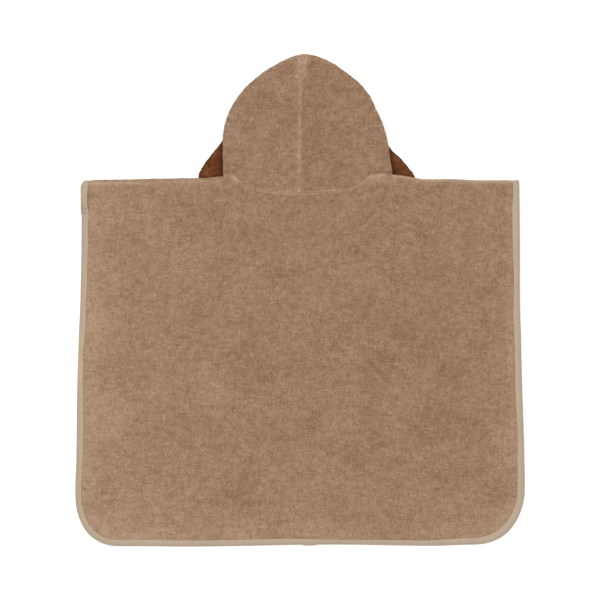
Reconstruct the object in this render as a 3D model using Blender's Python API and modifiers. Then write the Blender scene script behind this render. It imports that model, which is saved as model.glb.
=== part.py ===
"""Hooded bath poncho for a toddler, laid flat with its back up and its hood drawn out above the shoulders.

Two terry body panels meet at the shoulder fold. A hood of two halves is sewn round the neckline, a floppy
ear hangs from each side of it and lies under the garment, and one loop of folded tape binds the open edges.
Lengths are in millimetres, x across, y up the garment and z up from the floor; vertices are placed in metres.
"""
import math
from collections import namedtuple

import bmesh
import bpy
import numpy as np

MM = 0.001

# Driving dimensions of the body
BODY_LENGTH = 551.5         # shoulder fold to hem
HALF_WIDTH = 332.0          # centre line to the side edge of the pattern
CORNER = {-1: 67.5, 1: 78.0}    # radius of the rounded hem corners, left and right
SHOULDER_CORNER = {-1: 3.0, 1: 0.5}     # how far the bound edges draw in at the fold
SHOULDER_CORNER_RUN = 8.0   # and over what length
SQUARE_HALF_WIDTH = 190.0   # the pattern's columns stay straight this far from the centre line
FOLLOW_WIDTH = 60.0         # and take the line of the side edge over this width beyond
CLIMB_SHARE = 0.6           # the shoulder's climb dies away over this share of the length above the hem
HEM_REACH = 150.0           # the hem's waver dies away this far above it
# Driving dimensions of the hood
HOOD_HEIGHT = 188.5         # shoulder fold to the hood's peak
FRONT_NECK_DIP = 55.0       # how far the front neckline drops below the shoulder fold
FACE_HALF_WIDTH = 62.0      # face opening, measured with the hood laid flat
FACE_TOP_BELOW_PEAK = 48.0
FACE_MIDDLE_BELOW_PEAK = 130.0
SEAM_TURN_BELOW_PEAK = 105.0    # where the lattice of the back of the hood turns into the centre seam
# Cloth and tape
TERRY = 2.6                 # thickness of the looped towelling
PRESSED = 1.2               # the same cloth pressed flat inside the tape
TAPE_WIDTH = 10.0
TAPE_WALL = 0.9
EDGE_INSET = 1.2            # cloth edge to the outside of the tape
TAPE_ROUND = 1.2            # the tape turns over the cloth with this radius
SEAM_GAP = 0.3
NECK_GAP = 0.21             # the panels and the hood each keep this clear of the neckline
SWELL = 14.0                # the cloth is back at its full thickness this far in from the tape
# The shoulder fold and the sides of the hood are rolled a little fuller than the flat cloth
FOLD_PUFF = 0.35
FOLD_GRIP = 4.0
FOLD_FADE = 22.0
# Ears, and how the layers above ride over them
EAR_THICK = 3.6
EAR_ROUNDING = 1.2
EAR_ROUNDING_STEPS = 2
SHARP_ANGLE = 60.0          # degrees; an ear's edges are softened where its faces turn more than this
EAR_ROUND_FROM = 100.0      # the ear's widest place, along it
EAR_REACH = 24.0            # the cloth stays at full height this far past an ear's edge
EAR_FALL = 34.0             # and comes down to the floor over this distance
LAYER_SLACK = 0.9           # extra height of the upper layer over the lumps below it
SLACK_REACH = 60.0
SLACK_FALL = 45.0
FACE_SAG = 2.2              # the back of the hood sinks into the face opening below it
FACE_SAG_HALF_WIDTH = 50.0
FACE_SAG_HALF_LENGTH = 72.0
# Colours of the dyed cloths and the tape
BODY_BEIGE = (0.34, 0.205, 0.127)
HOOD_BEIGE = (0.33, 0.198, 0.122)
EAR_BROWN = (0.133, 0.042, 0.015)
TAPE_PALE = (0.49, 0.38, 0.28)
TERRY_ROUGHNESS = 0.95
TAPE_ROUGHNESS = 0.85

FOLD_Y = (BODY_LENGTH - HOOD_HEIGHT) / 2
HEM_Y = FOLD_Y - BODY_LENGTH
PEAK = (4.4, FOLD_Y + HOOD_HEIGHT)
NECK_CORNER = {-1: (-115.5, FOLD_Y + 4.0), 1: (139.0, FOLD_Y + 6.8)}
TAPE_STACK = PRESSED + 2 * (SEAM_GAP + TAPE_WALL)

# Side edges of the body at distances below the shoulder fold
Side = namedtuple("Side", "below left right")
SIDES = (
    Side(0, -328.2, 329.2),
    Side(60, -327.8, 329.8),
    Side(120, -328.4, 330.1),
    Side(181, -329.8, 330.2),
    Side(241, -332.2, 331.8),
    Side(301, -334.2, 333.2),
    Side(421, -335.8, 336.8),
    Side(475, -337.2, 337.1),
    Side(493, -336.3, 336.3),
    Side(510, -336.3, 336.6),
    Side(525, -337.6, 337.9),
    Side(538, -339.4, 339.9),
    Side(551.5, -340.6, 341.2),
)

# The hem wavers by a few millimetres
Hem = namedtuple("Hem", "across rise")
HEM = (
    Hem(-338, 0.6),
    Hem(-250, 0.6),
    Hem(-160, 0.0),
    Hem(-75, 1.2),
    Hem(0, 2.6),
    Hem(70, 2.9),
    Hem(150, 1.6),
    Hem(200, 1.1),
    Hem(250, 2.7),
    Hem(338, 3.4),
)

# The shoulder fold climbs a little towards the neck
Shoulder = namedtuple("Shoulder", "across rise")
SHOULDER = (
    Shoulder(-338, -2.2),
    Shoulder(-320, -1.2),
    Shoulder(-280, -0.7),
    Shoulder(-237, 0.2),
    Shoulder(-165, 1.3),
    Shoulder(-142, 1.8),
    Shoulder(-115.5, 4.0),
    Shoulder(0, 5.0),
    Shoulder(139, 6.8),
    Shoulder(168, 2.8),
    Shoulder(181, 0.2),
    Shoulder(195, -0.5),
    Shoulder(215, 0.0),
    Shoulder(240, -0.3),
    Shoulder(256, -1.2),
    Shoulder(290, -1.8),
    Shoulder(316, -1.4),
    Shoulder(338, -0.6),
)

# Back neckline between the corners of the neck, below the shoulder fold; it stands up a little at its ends
Neck = namedtuple("Neck", "across below")
BACK_NECK = (
    Neck(-105.2, -7.6),
    Neck(-96.7, -5.2),
    Neck(-90.2, 0.4),
    Neck(-81.2, 5.4),
    Neck(-72.2, 9.6),
    Neck(-60.2, 14.3),
    Neck(-45.2, 18.3),
    Neck(-27.0, 20.3),
    Neck(0, 20.9),
    Neck(17.9, 20.6),
    Neck(44.9, 19.1),
    Neck(62.9, 16.4),
    Neck(74.9, 13.0),
    Neck(85.4, 8.3),
    Neck(92.9, 3.2),
    Neck(98.9, -2.0),
    Neck(106.4, -5.9),
    Neck(116.9, -7.7),
    Neck(128.9, -7.0),
)

# Folded edges of the hood at heights above the shoulder fold
Hood = namedtuple("Hood", "height left right")
HOOD = (
    Hood(36, -115.6, 134.9),
    Hood(58.5, -115.9, 131.0),
    Hood(81, -113.4, 124.8),
    Hood(103.5, -105.5, 114.6),
    Hood(126, -91.2, 103.8),
    Hood(148.5, -70.4, 84.6),
    Hood(163.5, -50.4, 64.9),
    Hood(175, -31.4, 48.2),
    Hood(184.5, -10.4, 25.8),
)

# Centre seam of the hood at heights above the shoulder fold
Centre = namedtuple("Centre", "height across")
CENTRE_SEAM = (
    Centre(-60, -2.4),
    Centre(-21, -2.4),
    Centre(9, -2.6),
    Centre(59, -2.2),
    Centre(108, -1.6),
    Centre(145, -0.4),
    Centre(165, 1.4),
    Centre(188.5, 4.4),
)

# Outline of an ear, from its narrow sewn end to its round tip
EarSection = namedtuple("EarSection", "along half_width")
EAR_SECTIONS = (
    EarSection(0, 13.0),
    EarSection(25, 15.5),
    EarSection(45, 20.5),
    EarSection(75, 33.0),
    EarSection(92, 38.4),
    EarSection(100, 39.9),
    EarSection(107, 37.8),
    EarSection(117, 33.0),
    EarSection(127, 26.5),
    EarSection(135, 19.0),
)
EAR_LENGTH = 141.0

# Where each ear hangs from the hood, and how far it leans out from the garment's length
Ear = namedtuple("Ear", "name side root_x root_y lean")
EARS = (
    Ear("ear_left", -1, -86.0, 275.0, 16.0),
    Ear("ear_right", 1, 97.0, 264.8, 22.0),
)

# Lattices: distances in from the bound edges, across the open cloth, and down from the fold
EDGE_STEPS = (EDGE_INSET, TAPE_WIDTH + 0.2, 13.0, 17.0, 24.0)
LEFT_COLUMNS = (-238, -214, -200, -186, -172, -158, -144, -130)
RIGHT_COLUMNS = (238, 222, 208, 194, 180, 166, 152)
CORNER_STEPS = 3
NECK_STEPS = (0.05, 0.11, 0.18, 0.26, 0.35, 0.45, 0.56, 0.67, 0.78, 0.89, 1.0)
ROWS_BELOW = (10, 20, 32, 45, 58, 71, 84, 97, 110, 124, 150, 200, 260, 330, 405)
NECK_BLEND = 124.0          # rows below this run straight across, above it they follow the neckline
ROLL_ANGLES = (0, 18, 36, 54, 72, 90)
TAPE_ROWS = (10, 20, 32, 58, 97, 150, 200, 260, 330, 405)
TAPE_HEM_PLACES = (-200, -130, -75, -30, 30, 75, 130, 200)
TAPE_CORNER_STEPS = 10
HOOD_STEPS = 20             # along each folded edge of the hood
RAY_STEP = 0.01             # share of a folded edge over which its direction is taken
EAR_STEPS = 24              # along each ear
FLAT_ANGLE = 0.03           # degrees; faces that turn less than this are one flat face
SAME_PLACE = 0.01           # places nearer than this are one place
DOUBLE = 0.01               # and so are vertices
ORDER_STEP = 200            # more than three times the columns or rows of any lattice


def ease(value):
    """A soft step from 0 to 1."""
    t = min(max(value, 0.0), 1.0)
    return t * t * (3 - 2 * t)


def mix(first, second, share):
    return first + (second - first) * share


class Through:
    """A smooth line through the rows of a table, read at any place between them."""

    def __init__(self, keys, values):
        self.keys = np.asarray(keys, float)
        self.values = np.asarray(values, float)
        self.slopes = np.gradient(self.values, self.keys, axis=0)

    def __call__(self, at):
        start = int(np.clip(np.searchsorted(self.keys, at) - 1, 0, len(self.keys) - 2))
        span = self.keys[start + 1] - self.keys[start]
        t = min(max((at - self.keys[start]) / span, 0.0), 1.0)
        rise = 3 * t ** 2 - 2 * t ** 3
        near = span * (t ** 3 - 2 * t ** 2 + t) * self.slopes[start]
        far = span * (t ** 3 - t ** 2) * self.slopes[start + 1]
        return mix(self.values[start], self.values[start + 1], rise) + near + far


side_left = Through([row.below for row in SIDES], [row.left for row in SIDES])
side_right = Through([row.below for row in SIDES], [row.right for row in SIDES])
hem_rise = Through([row.across for row in HEM], [row.rise for row in HEM])
shoulder_rise = Through([row.across for row in SHOULDER], [row.rise for row in SHOULDER])
centre_seam = Through([row.height + FOLD_Y for row in CENTRE_SEAM], [row.across for row in CENTRE_SEAM])
ear_half_width = Through([row.along for row in EAR_SECTIONS], [row.half_width for row in EAR_SECTIONS])


# ---------------------------------------------------------------- the layers

def build_up(inset, from_fold):
    """Height of the lower layer's middle, radius of the fold's middle and cloth thickness.

    Inset is the distance in from a bound edge, from_fold the distance in from a folded one.
    """
    open_cloth = ease((inset - EDGE_STEPS[1]) / SWELL)
    rest = mix(TAPE_STACK, TERRY, open_cloth) / 2
    puff = FOLD_PUFF * (1 - ease((from_fold - FOLD_GRIP) / FOLD_FADE))
    return rest, rest + SEAM_GAP / 2 + puff, mix(PRESSED, TERRY, open_cloth)


OPEN_REST, OPEN_RADIUS, _ = build_up(HALF_WIDTH, 0)
FOLD_AXIS = OPEN_REST + OPEN_RADIUS     # the axis of a fold lies this far up, and this far in from its edge


def ear_axis(ear):
    lean = math.radians(ear.lean)
    return np.array((ear.side * math.sin(lean), -math.cos(lean)))


def past_ear(ear, x, y):
    """Distance from the outline of an ear, roughly, and below zero inside it."""
    offset = np.array((x - ear.root_x, y - ear.root_y))
    along = min(max(float(offset @ ear_axis(ear)), 0.0), EAR_ROUND_FROM)
    return float(np.linalg.norm(offset - along * ear_axis(ear)) - ear_half_width(along))


def settle(x, y, z, upper):
    """Lifts a point over the ears; upper runs from 0 in the lower layer to 1 in the upper one."""
    away = min(past_ear(ear, x, y) for ear in EARS)
    rise = (EAR_THICK + SEAM_GAP) * (1 - ease((away - EAR_REACH) / EAR_FALL))
    slack = LAYER_SLACK * (1 - ease((away - SLACK_REACH) / SLACK_FALL))
    face_x = (x - CENTRE_SEAM[0].across) / FACE_SAG_HALF_WIDTH
    face_y = (y - PEAK[1] + FACE_MIDDLE_BELOW_PEAK) / FACE_SAG_HALF_LENGTH
    sag = FACE_SAG * ease(1 - face_x ** 2 - face_y ** 2)
    return x, y, z + rise + upper * (slack - sag)


# ---------------------------------------------------------------- body panels

def side_edge(side, y):
    below = FOLD_Y - y
    edge = side_left(below) if side < 0 else side_right(below)
    return edge - side * SHOULDER_CORNER[side] * (1 - ease(below / SHOULDER_CORNER_RUN))


def follow_side(side, inset, y):
    """Across place of a point that lies inset from a side edge; the middle of the panel stays square."""
    follow = ease((HALF_WIDTH - inset - SQUARE_HALF_WIDTH) / FOLLOW_WIDTH)
    return side * (HALF_WIDTH - inset) + (side_edge(side, y) - side * HALF_WIDTH) * follow


def round_corner(inset, rise, radius):
    """Bends the square corner of the lattice round; what lies m in from the edge stays m in."""
    near, far = min(inset, rise), max(inset, rise)
    if far >= radius:
        return inset, rise
    angle = (1 - (far - near) / (radius - near)) * math.pi / 4
    short = radius - (radius - near) * math.cos(angle)
    long = radius - (radius - near) * math.sin(angle)
    return (short, long) if inset <= rise else (long, short)


def pattern_to_plan(side, inset, rise):
    """Plan place of a point that lies inset from a side edge and rise above the hem."""
    y = HEM_Y + rise
    x = follow_side(side, inset, y)
    y += shoulder_rise(x) * min(rise / (CLIMB_SHARE * BODY_LENGTH), 1)
    return x, y + hem_rise(x) * max(1 - rise / HEM_REACH, 0)


def body_plan(across, below):
    """Plan place of a body point, across and below being its place on the square pattern."""
    side = -1 if across < 0 else 1
    inset, rise = round_corner(HALF_WIDTH - abs(across), BODY_LENGTH - below, CORNER[side])
    return pattern_to_plan(side, inset, rise)


def neckline(layer, x):
    """Height on the plan of the neckline of the back (layer 1) or the front (layer -1)."""
    ends = {}
    for side, (corner_x, corner_y) in NECK_CORNER.items():
        ends[side] = (corner_x - side * FOLD_AXIS, corner_y - FOLD_AXIS)
    if layer > 0:
        places = [ends[-1]] + [(row.across, FOLD_Y - row.below) for row in BACK_NECK] + [ends[1]]
        return float(Through([p[0] for p in places], [p[1] for p in places])(x))
    centre = CENTRE_SEAM[0].across
    end_x, end_y = ends[-1 if x < centre else 1]
    share = min(abs((x - centre) / (end_x - centre)), 1)
    return mix(end_y, FOLD_Y - FRONT_NECK_DIP, 0.5 + 0.5 * math.cos(math.pi * share))


def inside_neck(x):
    """How far a place lies in from the nearer corner of the neck, below zero outside them."""
    return min(x - NECK_CORNER[-1][0], NECK_CORNER[1][0] - x)


def body_point(layer, across, below, angle, outward):
    """A point of a body panel; outward is measured from the middle of the cloth, in half thicknesses."""
    side = -1 if across < 0 else 1
    inset = min(HALF_WIDTH - abs(across), BODY_LENGTH - below)
    at_fold = below <= FOLD_GRIP
    rest, radius, thick = build_up(inset, 0)
    axis = rest + radius
    radial = radius + outward * thick / 2
    turn = math.radians(angle)
    at_corner = abs(inside_neck(across) - FOLD_AXIS) < SAME_PLACE
    if at_fold:
        drop = axis - radial * math.cos(turn)
        y = FOLD_Y + shoulder_rise(across) - drop
        x = follow_side(side, HALF_WIDTH - abs(across), y)
        if at_corner:
            x = NECK_CORNER[side][0] - side * drop
            y = NECK_CORNER[side][1] - drop - NECK_GAP
        half_gap = SEAM_GAP / 2
        z = axis + layer * (half_gap + (radial - half_gap) * math.sin(turn))
        if angle == 90 and inside_neck(across) > FOLD_AXIS + SAME_PLACE:
            x = across
            y = neckline(layer, across) - NECK_GAP
        upper = 0.5 + 0.5 * layer * math.sin(turn)
        return settle(x, y, z, upper)
    dip = axis
    if inside_neck(across) > FOLD_AXIS - SAME_PLACE:
        dip = FOLD_Y + shoulder_rise(across) - neckline(layer, across) + NECK_GAP
    if below < NECK_BLEND:
        below = mix(dip, NECK_BLEND, (below - axis) / (NECK_BLEND - axis))
    x, y = body_plan(across, below)
    from_fold = max(FOLD_Y + shoulder_rise(across) - y, inside_neck(x))
    rest, radius, thick = build_up(inset, from_fold)
    z = rest + radius + layer * (radius + outward * thick / 2)
    return settle(x, y, z, 0.5 + 0.5 * layer)


def body_columns():
    """Places of the lattice's columns on the pattern, from the left edge to the right one."""
    columns = []
    for side, middle in ((-1, LEFT_COLUMNS), (1, RIGHT_COLUMNS)):
        corner = [mix(EDGE_STEPS[-1], CORNER[side], (i + 1) / CORNER_STEPS) for i in range(CORNER_STEPS)]
        edge = [side * (HALF_WIDTH - step) for step in list(EDGE_STEPS) + corner]
        start = NECK_CORNER[side][0] - side * FOLD_AXIS
        centre = CENTRE_SEAM[0].across
        neck = [start] + [mix(start, centre, share) for share in NECK_STEPS[:-1]]
        columns.append(edge + list(middle) + neck)
    return columns[0] + [CENTRE_SEAM[0].across] + columns[1][::-1]


def body_rows(radius):
    """Rows of the lattice: a turn round the fold, then distances below it down to the hem."""
    rows = [(0, angle) for angle in ROLL_ANGLES]
    rows += [(below, 90) for below in ROWS_BELOW]
    corner = [mix(radius, EDGE_STEPS[-1], i / CORNER_STEPS) for i in range(CORNER_STEPS + 1)]
    rows += [(BODY_LENGTH - rise, 90) for rise in corner + list(EDGE_STEPS[-2::-1])]
    return rows


# ---------------------------------------------------------------- hood halves

def hood_outline(side):
    """The folded edge of one half, from the corner of the neck to the peak."""
    places = [NECK_CORNER[side]]
    places += [(row.left if side < 0 else row.right, FOLD_Y + row.height) for row in HOOD]
    places.append(PEAK)
    steps = [math.dist(places[i], places[i + 1]) for i in range(len(places) - 1)]
    keys = np.concatenate(([0], np.cumsum(steps))) / sum(steps)
    return Through(keys, places)


def hood_ray(side, outline, along, drop):
    """A point that lies drop in from the folded edge, mitred at the neck and at the peak."""
    place = outline(along)
    if along == 0:
        return place + np.array((-side * drop, -drop))
    run = outline(min(along + RAY_STEP, 1)) - outline(along - RAY_STEP)
    inward = np.array((run[1], -run[0])) * -side / np.linalg.norm(run)
    if along == 1:
        inward = np.array((0, 1 / inward[1]))
    return place + inward * drop


def face_edge(side, share):
    """Edge of the face opening, from the middle of the front neckline up to its round top."""
    centre = CENTRE_SEAM[0].across
    low = neckline(-1, centre)
    top = PEAK[1] - FACE_TOP_BELOW_PEAK
    y = mix(low, top, math.sin(share * math.pi / 2))
    x = mix(centre, centre_seam(top), share)
    return np.array((x + side * FACE_HALF_WIDTH * math.sin(share * math.pi), y))


def hood_plan(side, outline, layer, along, across):
    """Plan place in one layer of a half, across running from the folded edge (0) to the inner one (1)."""
    seam_end = PEAK[1] - (SEAM_TURN_BELOW_PEAK if layer > 0 else FACE_TOP_BELOW_PEAK)

    def neck(share):
        x = mix(NECK_CORNER[side][0] - side * FOLD_AXIS, CENTRE_SEAM[0].across, share)
        return np.array((x, neckline(layer, x)))

    def seam(y):
        return np.array((centre_seam(y), y))

    def inner(share):
        return seam(mix(neck(1)[1], seam_end, share)) if layer > 0 else face_edge(side, share)

    def folded(share):
        return hood_ray(side, outline, share, FOLD_AXIS)

    def upper(share):
        return seam(mix(folded(1)[1], seam_end, share))

    sides = mix(folded(along), inner(along), across) + mix(neck(across), upper(across), along)
    low = mix(folded(0), inner(0), across)
    high = mix(folded(1), inner(1), across)
    return sides - mix(low, high, along)


def hood_point(side, outline, along, angle, across, outward):
    """A point of a hood half: round its folded edge by angle, then across one of its two layers."""
    turn = math.radians(angle)
    layer = -1 if angle < 0 else 1
    place = outline(along)
    if across == 0:
        radial = OPEN_RADIUS + outward * TERRY / 2
        x, y = hood_ray(side, outline, along, FOLD_AXIS - radial * math.cos(turn))
        z = FOLD_AXIS + radial * math.sin(turn)
    else:
        x, y = hood_plan(side, outline, layer, along, across)
        rest, radius, thick = build_up(HALF_WIDTH, math.dist((x, y), place))
        z = rest + radius + layer * (radius + outward * thick / 2)
    x += side * SEAM_GAP / 2 * max(along, across)
    y += NECK_GAP * (1 - along)
    return settle(x, y, z, 0.5 + 0.5 * math.sin(turn))


# ---------------------------------------------------------------- edge binding

TAPE_HALF = TAPE_STACK / 2
TAPE_CHAMFER = TAPE_ROUND * (1 - math.sqrt(0.5))
TAPE_SECTION = (    # (inset, outward) round the folded tape, in millimetres
    (TAPE_WIDTH, TAPE_HALF),
    (TAPE_ROUND, TAPE_HALF),
    (TAPE_CHAMFER, TAPE_HALF - TAPE_CHAMFER),
    (0, TAPE_HALF - TAPE_ROUND),
    (0, TAPE_ROUND - TAPE_HALF),
    (TAPE_CHAMFER, TAPE_CHAMFER - TAPE_HALF),
    (TAPE_ROUND, -TAPE_HALF),
    (TAPE_WIDTH, -TAPE_HALF),
    (TAPE_WIDTH, TAPE_WALL - TAPE_HALF),
    (TAPE_WALL, TAPE_WALL - TAPE_HALF),
    (TAPE_WALL, TAPE_HALF - TAPE_WALL),
    (TAPE_WIDTH, TAPE_HALF - TAPE_WALL),
)


def tape_point(side, below, across, angle, inset, outward):
    """A point of the tape: on a side edge (across None), or on the hem at a place across it."""
    rest, radius, _ = build_up(0, below if across is None else BODY_LENGTH)
    turn = math.radians(angle)
    if across is None and below <= FOLD_GRIP:
        drop = rest + radius - (radius + outward) * math.cos(turn)
        y = FOLD_Y + shoulder_rise(side * (HALF_WIDTH - inset)) - drop
        x = side_edge(side, y) - side * inset
    elif across is None:
        x, y = body_plan(side * (HALF_WIDTH - inset), below)
    else:
        x, y = body_plan(across, BODY_LENGTH - inset)
    return x, y, rest + radius + (radius + outward) * math.sin(turn)


def corner_station(side, share):
    """The tape's line across a hem corner at a share of its quarter turn, as a function of inset."""
    radius = CORNER[side]

    def at(inset):
        angle = share * math.pi / 2
        in_from_side = radius - (radius - inset) * math.cos(angle)
        rise = radius - (radius - inset) * math.sin(angle)
        return pattern_to_plan(side, in_from_side, rise)

    return at


def tape_sections():
    """Sections of the closed loop: round the front from left to right, then round the back."""
    corner_shares = [i / TAPE_CORNER_STEPS for i in range(TAPE_CORNER_STEPS + 1)]
    sections = []

    def flat(angle, place):
        rest, radius, _ = build_up(0, HALF_WIDTH)
        section = []
        for inset, outward in TAPE_SECTION:
            x, y = place(inset)
            section.append((x, y, rest + radius + math.copysign(radius + outward, angle)))
        return section

    def down(side, angle, order):
        return [[tape_point(side, below, None, angle, *p) for p in TAPE_SECTION] for below in order]

    def corner(side, angle, order):
        return [flat(angle, corner_station(side, share)) for share in order]

    def hem(angle, order):
        return [[tape_point(0, 0, x, angle, *p) for p in TAPE_SECTION] for x in order]

    def over(side, order):
        return [[tape_point(side, 0, None, angle, *p) for p in TAPE_SECTION] for angle in order]

    turn = [-angle for angle in ROLL_ANGLES[::-1]] + list(ROLL_ANGLES[1:])
    sections += down(-1, -90, TAPE_ROWS) + corner(-1, -90, corner_shares)
    sections += hem(-90, TAPE_HEM_PLACES) + corner(1, -90, corner_shares[::-1])
    sections += down(1, -90, TAPE_ROWS[::-1]) + over(1, turn)
    sections += down(1, 90, TAPE_ROWS) + corner(1, 90, corner_shares)
    sections += hem(90, TAPE_HEM_PLACES[::-1]) + corner(-1, 90, corner_shares[::-1])
    sections += down(-1, 90, TAPE_ROWS[::-1]) + over(-1, turn[::-1])
    return sections


# ---------------------------------------------------------------- modelling

def collection(name):
    made = bpy.data.collections.new(name)
    bpy.context.scene.collection.children.link(made)
    return made


def material(name, colour, roughness):
    made = bpy.data.materials.new(name)
    made.use_nodes = True
    shader = made.node_tree.nodes["Principled BSDF"]
    shader.inputs["Base Color"].default_value = (*colour, 1)
    shader.inputs["Roughness"].default_value = roughness
    shader.inputs["Metallic"].default_value = 0
    return made


def finish(name, bm, finish_material):
    """Turns a mesh in millimetres into a named object in metres with its faces pointing out."""
    bmesh.ops.recalc_face_normals(bm, faces=bm.faces)
    if bm.calc_volume(signed=True) < 0:
        bmesh.ops.reverse_faces(bm, faces=bm.faces)
    bmesh.ops.scale(bm, vec=(MM, MM, MM), verts=bm.verts)
    mesh = bpy.data.meshes.new(name)
    bm.to_mesh(mesh)
    bm.free()
    mesh.materials.append(finish_material)
    mesh.shade_smooth()
    made = bpy.data.objects.new(name, mesh)
    PONCHO.objects.link(made)
    return made


def lattice_order(place):
    """Column by column, then row by row, then skin by skin."""
    return place.x * ORDER_STEP ** 2 + place.y * ORDER_STEP + place.z


def cloth(name, columns, rows, place, cut, finish_material):
    """A sheet of cloth: a flat lattice of unit cells gets two skins, and place lays each point out.

    Place takes a column, a row and which skin it is, 1 or -1; cut says which cells are left out.
    """
    bm = bmesh.new()
    bmesh.ops.create_grid(bm, x_segments=len(columns) - 1, y_segments=len(rows) - 1, size=0.5)
    for vert in bm.verts:
        vert.co.x = round((vert.co.x + 0.5) * (len(columns) - 1))
        vert.co.y = round((vert.co.y + 0.5) * (len(rows) - 1))
    spare = [face for face in bm.faces if cut(*face.calc_center_median().xy)]
    bmesh.ops.delete(bm, geom=spare, context="FACES")
    bmesh.ops.triangulate(bm, faces=bm.faces[:], quad_method="FIXED")
    skin = bmesh.ops.extrude_face_region(bm, geom=bm.faces[:], use_keep_orig=True)
    for item in skin["geom"]:
        if isinstance(item, bmesh.types.BMVert):
            item.co.z = 1
    bm.verts.sort(key=lambda vert: lattice_order(vert.co))
    bm.edges.sort(key=lambda edge: lattice_order((edge.verts[0].co + edge.verts[1].co) / 2))
    bm.faces.sort(key=lambda face: lattice_order(face.calc_center_median()))
    for vert in bm.verts:
        column, row = int(vert.co.x), int(vert.co.y)
        vert.co = place(columns[column], rows[row], 2 * vert.co.z - 1)
    sheet = finish(name, bm, finish_material)
    flatten = sheet.modifiers.new("flat stretches in few faces", "DECIMATE")
    flatten.decimate_type = "DISSOLVE"
    flatten.angle_limit = math.radians(FLAT_ANGLE)
    return sheet


def body_panel(name, layer, finish_material):
    columns = body_columns()
    rows = body_rows(CORNER[-1])
    neck = [i for i, across in enumerate(columns) if inside_neck(across) > FOLD_AXIS - SAME_PLACE]

    def place(across, row, outward):
        return body_point(layer, across, row[0], row[1], outward)

    def neck_hole(column, row):
        return neck[0] < column < neck[-1] and row < len(ROLL_ANGLES) - 1

    return cloth(name, columns, rows, place, neck_hole, finish_material)


def hood_half(name, side, finish_material):
    outline = hood_outline(side)
    columns = [i / HOOD_STEPS for i in range(HOOD_STEPS + 1)]
    turn = [-angle for angle in ROLL_ANGLES[:0:-1]] + list(ROLL_ANGLES)
    rows = [(-90, share) for share in NECK_STEPS[::-1]] + [(angle, 0) for angle in turn]
    rows += [(90, share) for share in NECK_STEPS]

    def place(along, row, outward):
        return hood_point(side, outline, along, row[0], row[1], outward)

    return cloth(name, columns, rows, place, lambda column, row: False, finish_material)


def edge_binding(finish_material):
    """The tape: sections of a folded strip lofted into one closed loop."""
    bm = bmesh.new()
    rings = [[bm.verts.new(point) for point in section] for section in tape_sections()]
    for i, ring in enumerate(rings):
        following = rings[(i + 1) % len(rings)]
        for j, vert in enumerate(ring):
            k = (j + 1) % len(ring)
            bm.faces.new((vert, ring[k], following[k], following[j]))
    return finish("edge_binding", bm, finish_material)


def ear_end(along):
    """Closes the outline to a round tip past the last section."""
    last = EAR_SECTIONS[-1].along
    if along <= last:
        return 1
    return math.sqrt(max(1 - ((along - last) / (EAR_LENGTH - last)) ** 2, 0))


def ear_flap(ear, finish_material):
    """A floppy ear: its outline filled and thickened, with soft rounded edges."""
    stations = [EAR_LENGTH * (1 - math.cos(math.pi * i / EAR_STEPS)) / 2 for i in range(1, EAR_STEPS)]
    right = [(float(ear_half_width(along)) * ear_end(along), -along) for along in stations]
    outline = [(EAR_SECTIONS[0].half_width, 0)] + right + [(0, -EAR_LENGTH)]
    outline += [(-x, y) for x, y in outline[-2::-1]]
    curve = bpy.data.curves.new(ear.name, "CURVE")
    curve.dimensions = "2D"
    curve.fill_mode = "BOTH"
    curve.extrude = EAR_THICK / 2 * MM
    spline = curve.splines.new("POLY")
    spline.points.add(len(outline) - 1)
    for point, (x, y) in zip(spline.points, outline):
        point.co = (x * MM, y * MM, 0, 1)
    spline.use_cyclic_u = True
    drawn = bpy.data.objects.new(ear.name + "_outline", curve)
    PONCHO.objects.link(drawn)
    bpy.context.view_layer.update()
    mesh = bpy.data.meshes.new_from_object(drawn.evaluated_get(bpy.context.evaluated_depsgraph_get()))
    bpy.data.objects.remove(drawn)
    bm = bmesh.new()
    bm.from_mesh(mesh)
    bmesh.ops.remove_doubles(bm, verts=bm.verts, dist=DOUBLE * MM)
    bmesh.ops.recalc_face_normals(bm, faces=bm.faces)
    bm.to_mesh(mesh)
    bm.free()
    mesh.name = ear.name
    mesh.materials.append(finish_material)
    flap = bpy.data.objects.new(ear.name, mesh)
    flap.location = (ear.root_x * MM, ear.root_y * MM, EAR_THICK / 2 * MM)
    flap.rotation_euler = (0, 0, math.radians(ear.side * ear.lean))
    PONCHO.objects.link(flap)
    soften = flap.modifiers.new("soft edge", "BEVEL")
    soften.width = EAR_ROUNDING * MM
    soften.segments = EAR_ROUNDING_STEPS
    soften.limit_method = "ANGLE"
    soften.angle_limit = math.radians(SHARP_ANGLE)
    return flap


for old in list(bpy.data.objects):
    bpy.data.objects.remove(old)
PONCHO = collection("hooded_bath_poncho")

body_terry = material("beige terry body", BODY_BEIGE, TERRY_ROUGHNESS)
hood_terry = material("beige terry hood", HOOD_BEIGE, TERRY_ROUGHNESS)
ear_terry = material("brown terry ears", EAR_BROWN, TERRY_ROUGHNESS)
tape_cotton = material("pale cotton tape", TAPE_PALE, TAPE_ROUGHNESS)

body_panel("front_panel", -1, body_terry)
body_panel("back_panel", 1, body_terry)
hood_half("hood_left", -1, hood_terry)
hood_half("hood_right", 1, hood_terry)
for ear in EARS:
    ear_flap(ear, ear_terry)
edge_binding(tape_cotton)
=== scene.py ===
import math
from collections import namedtuple

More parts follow.
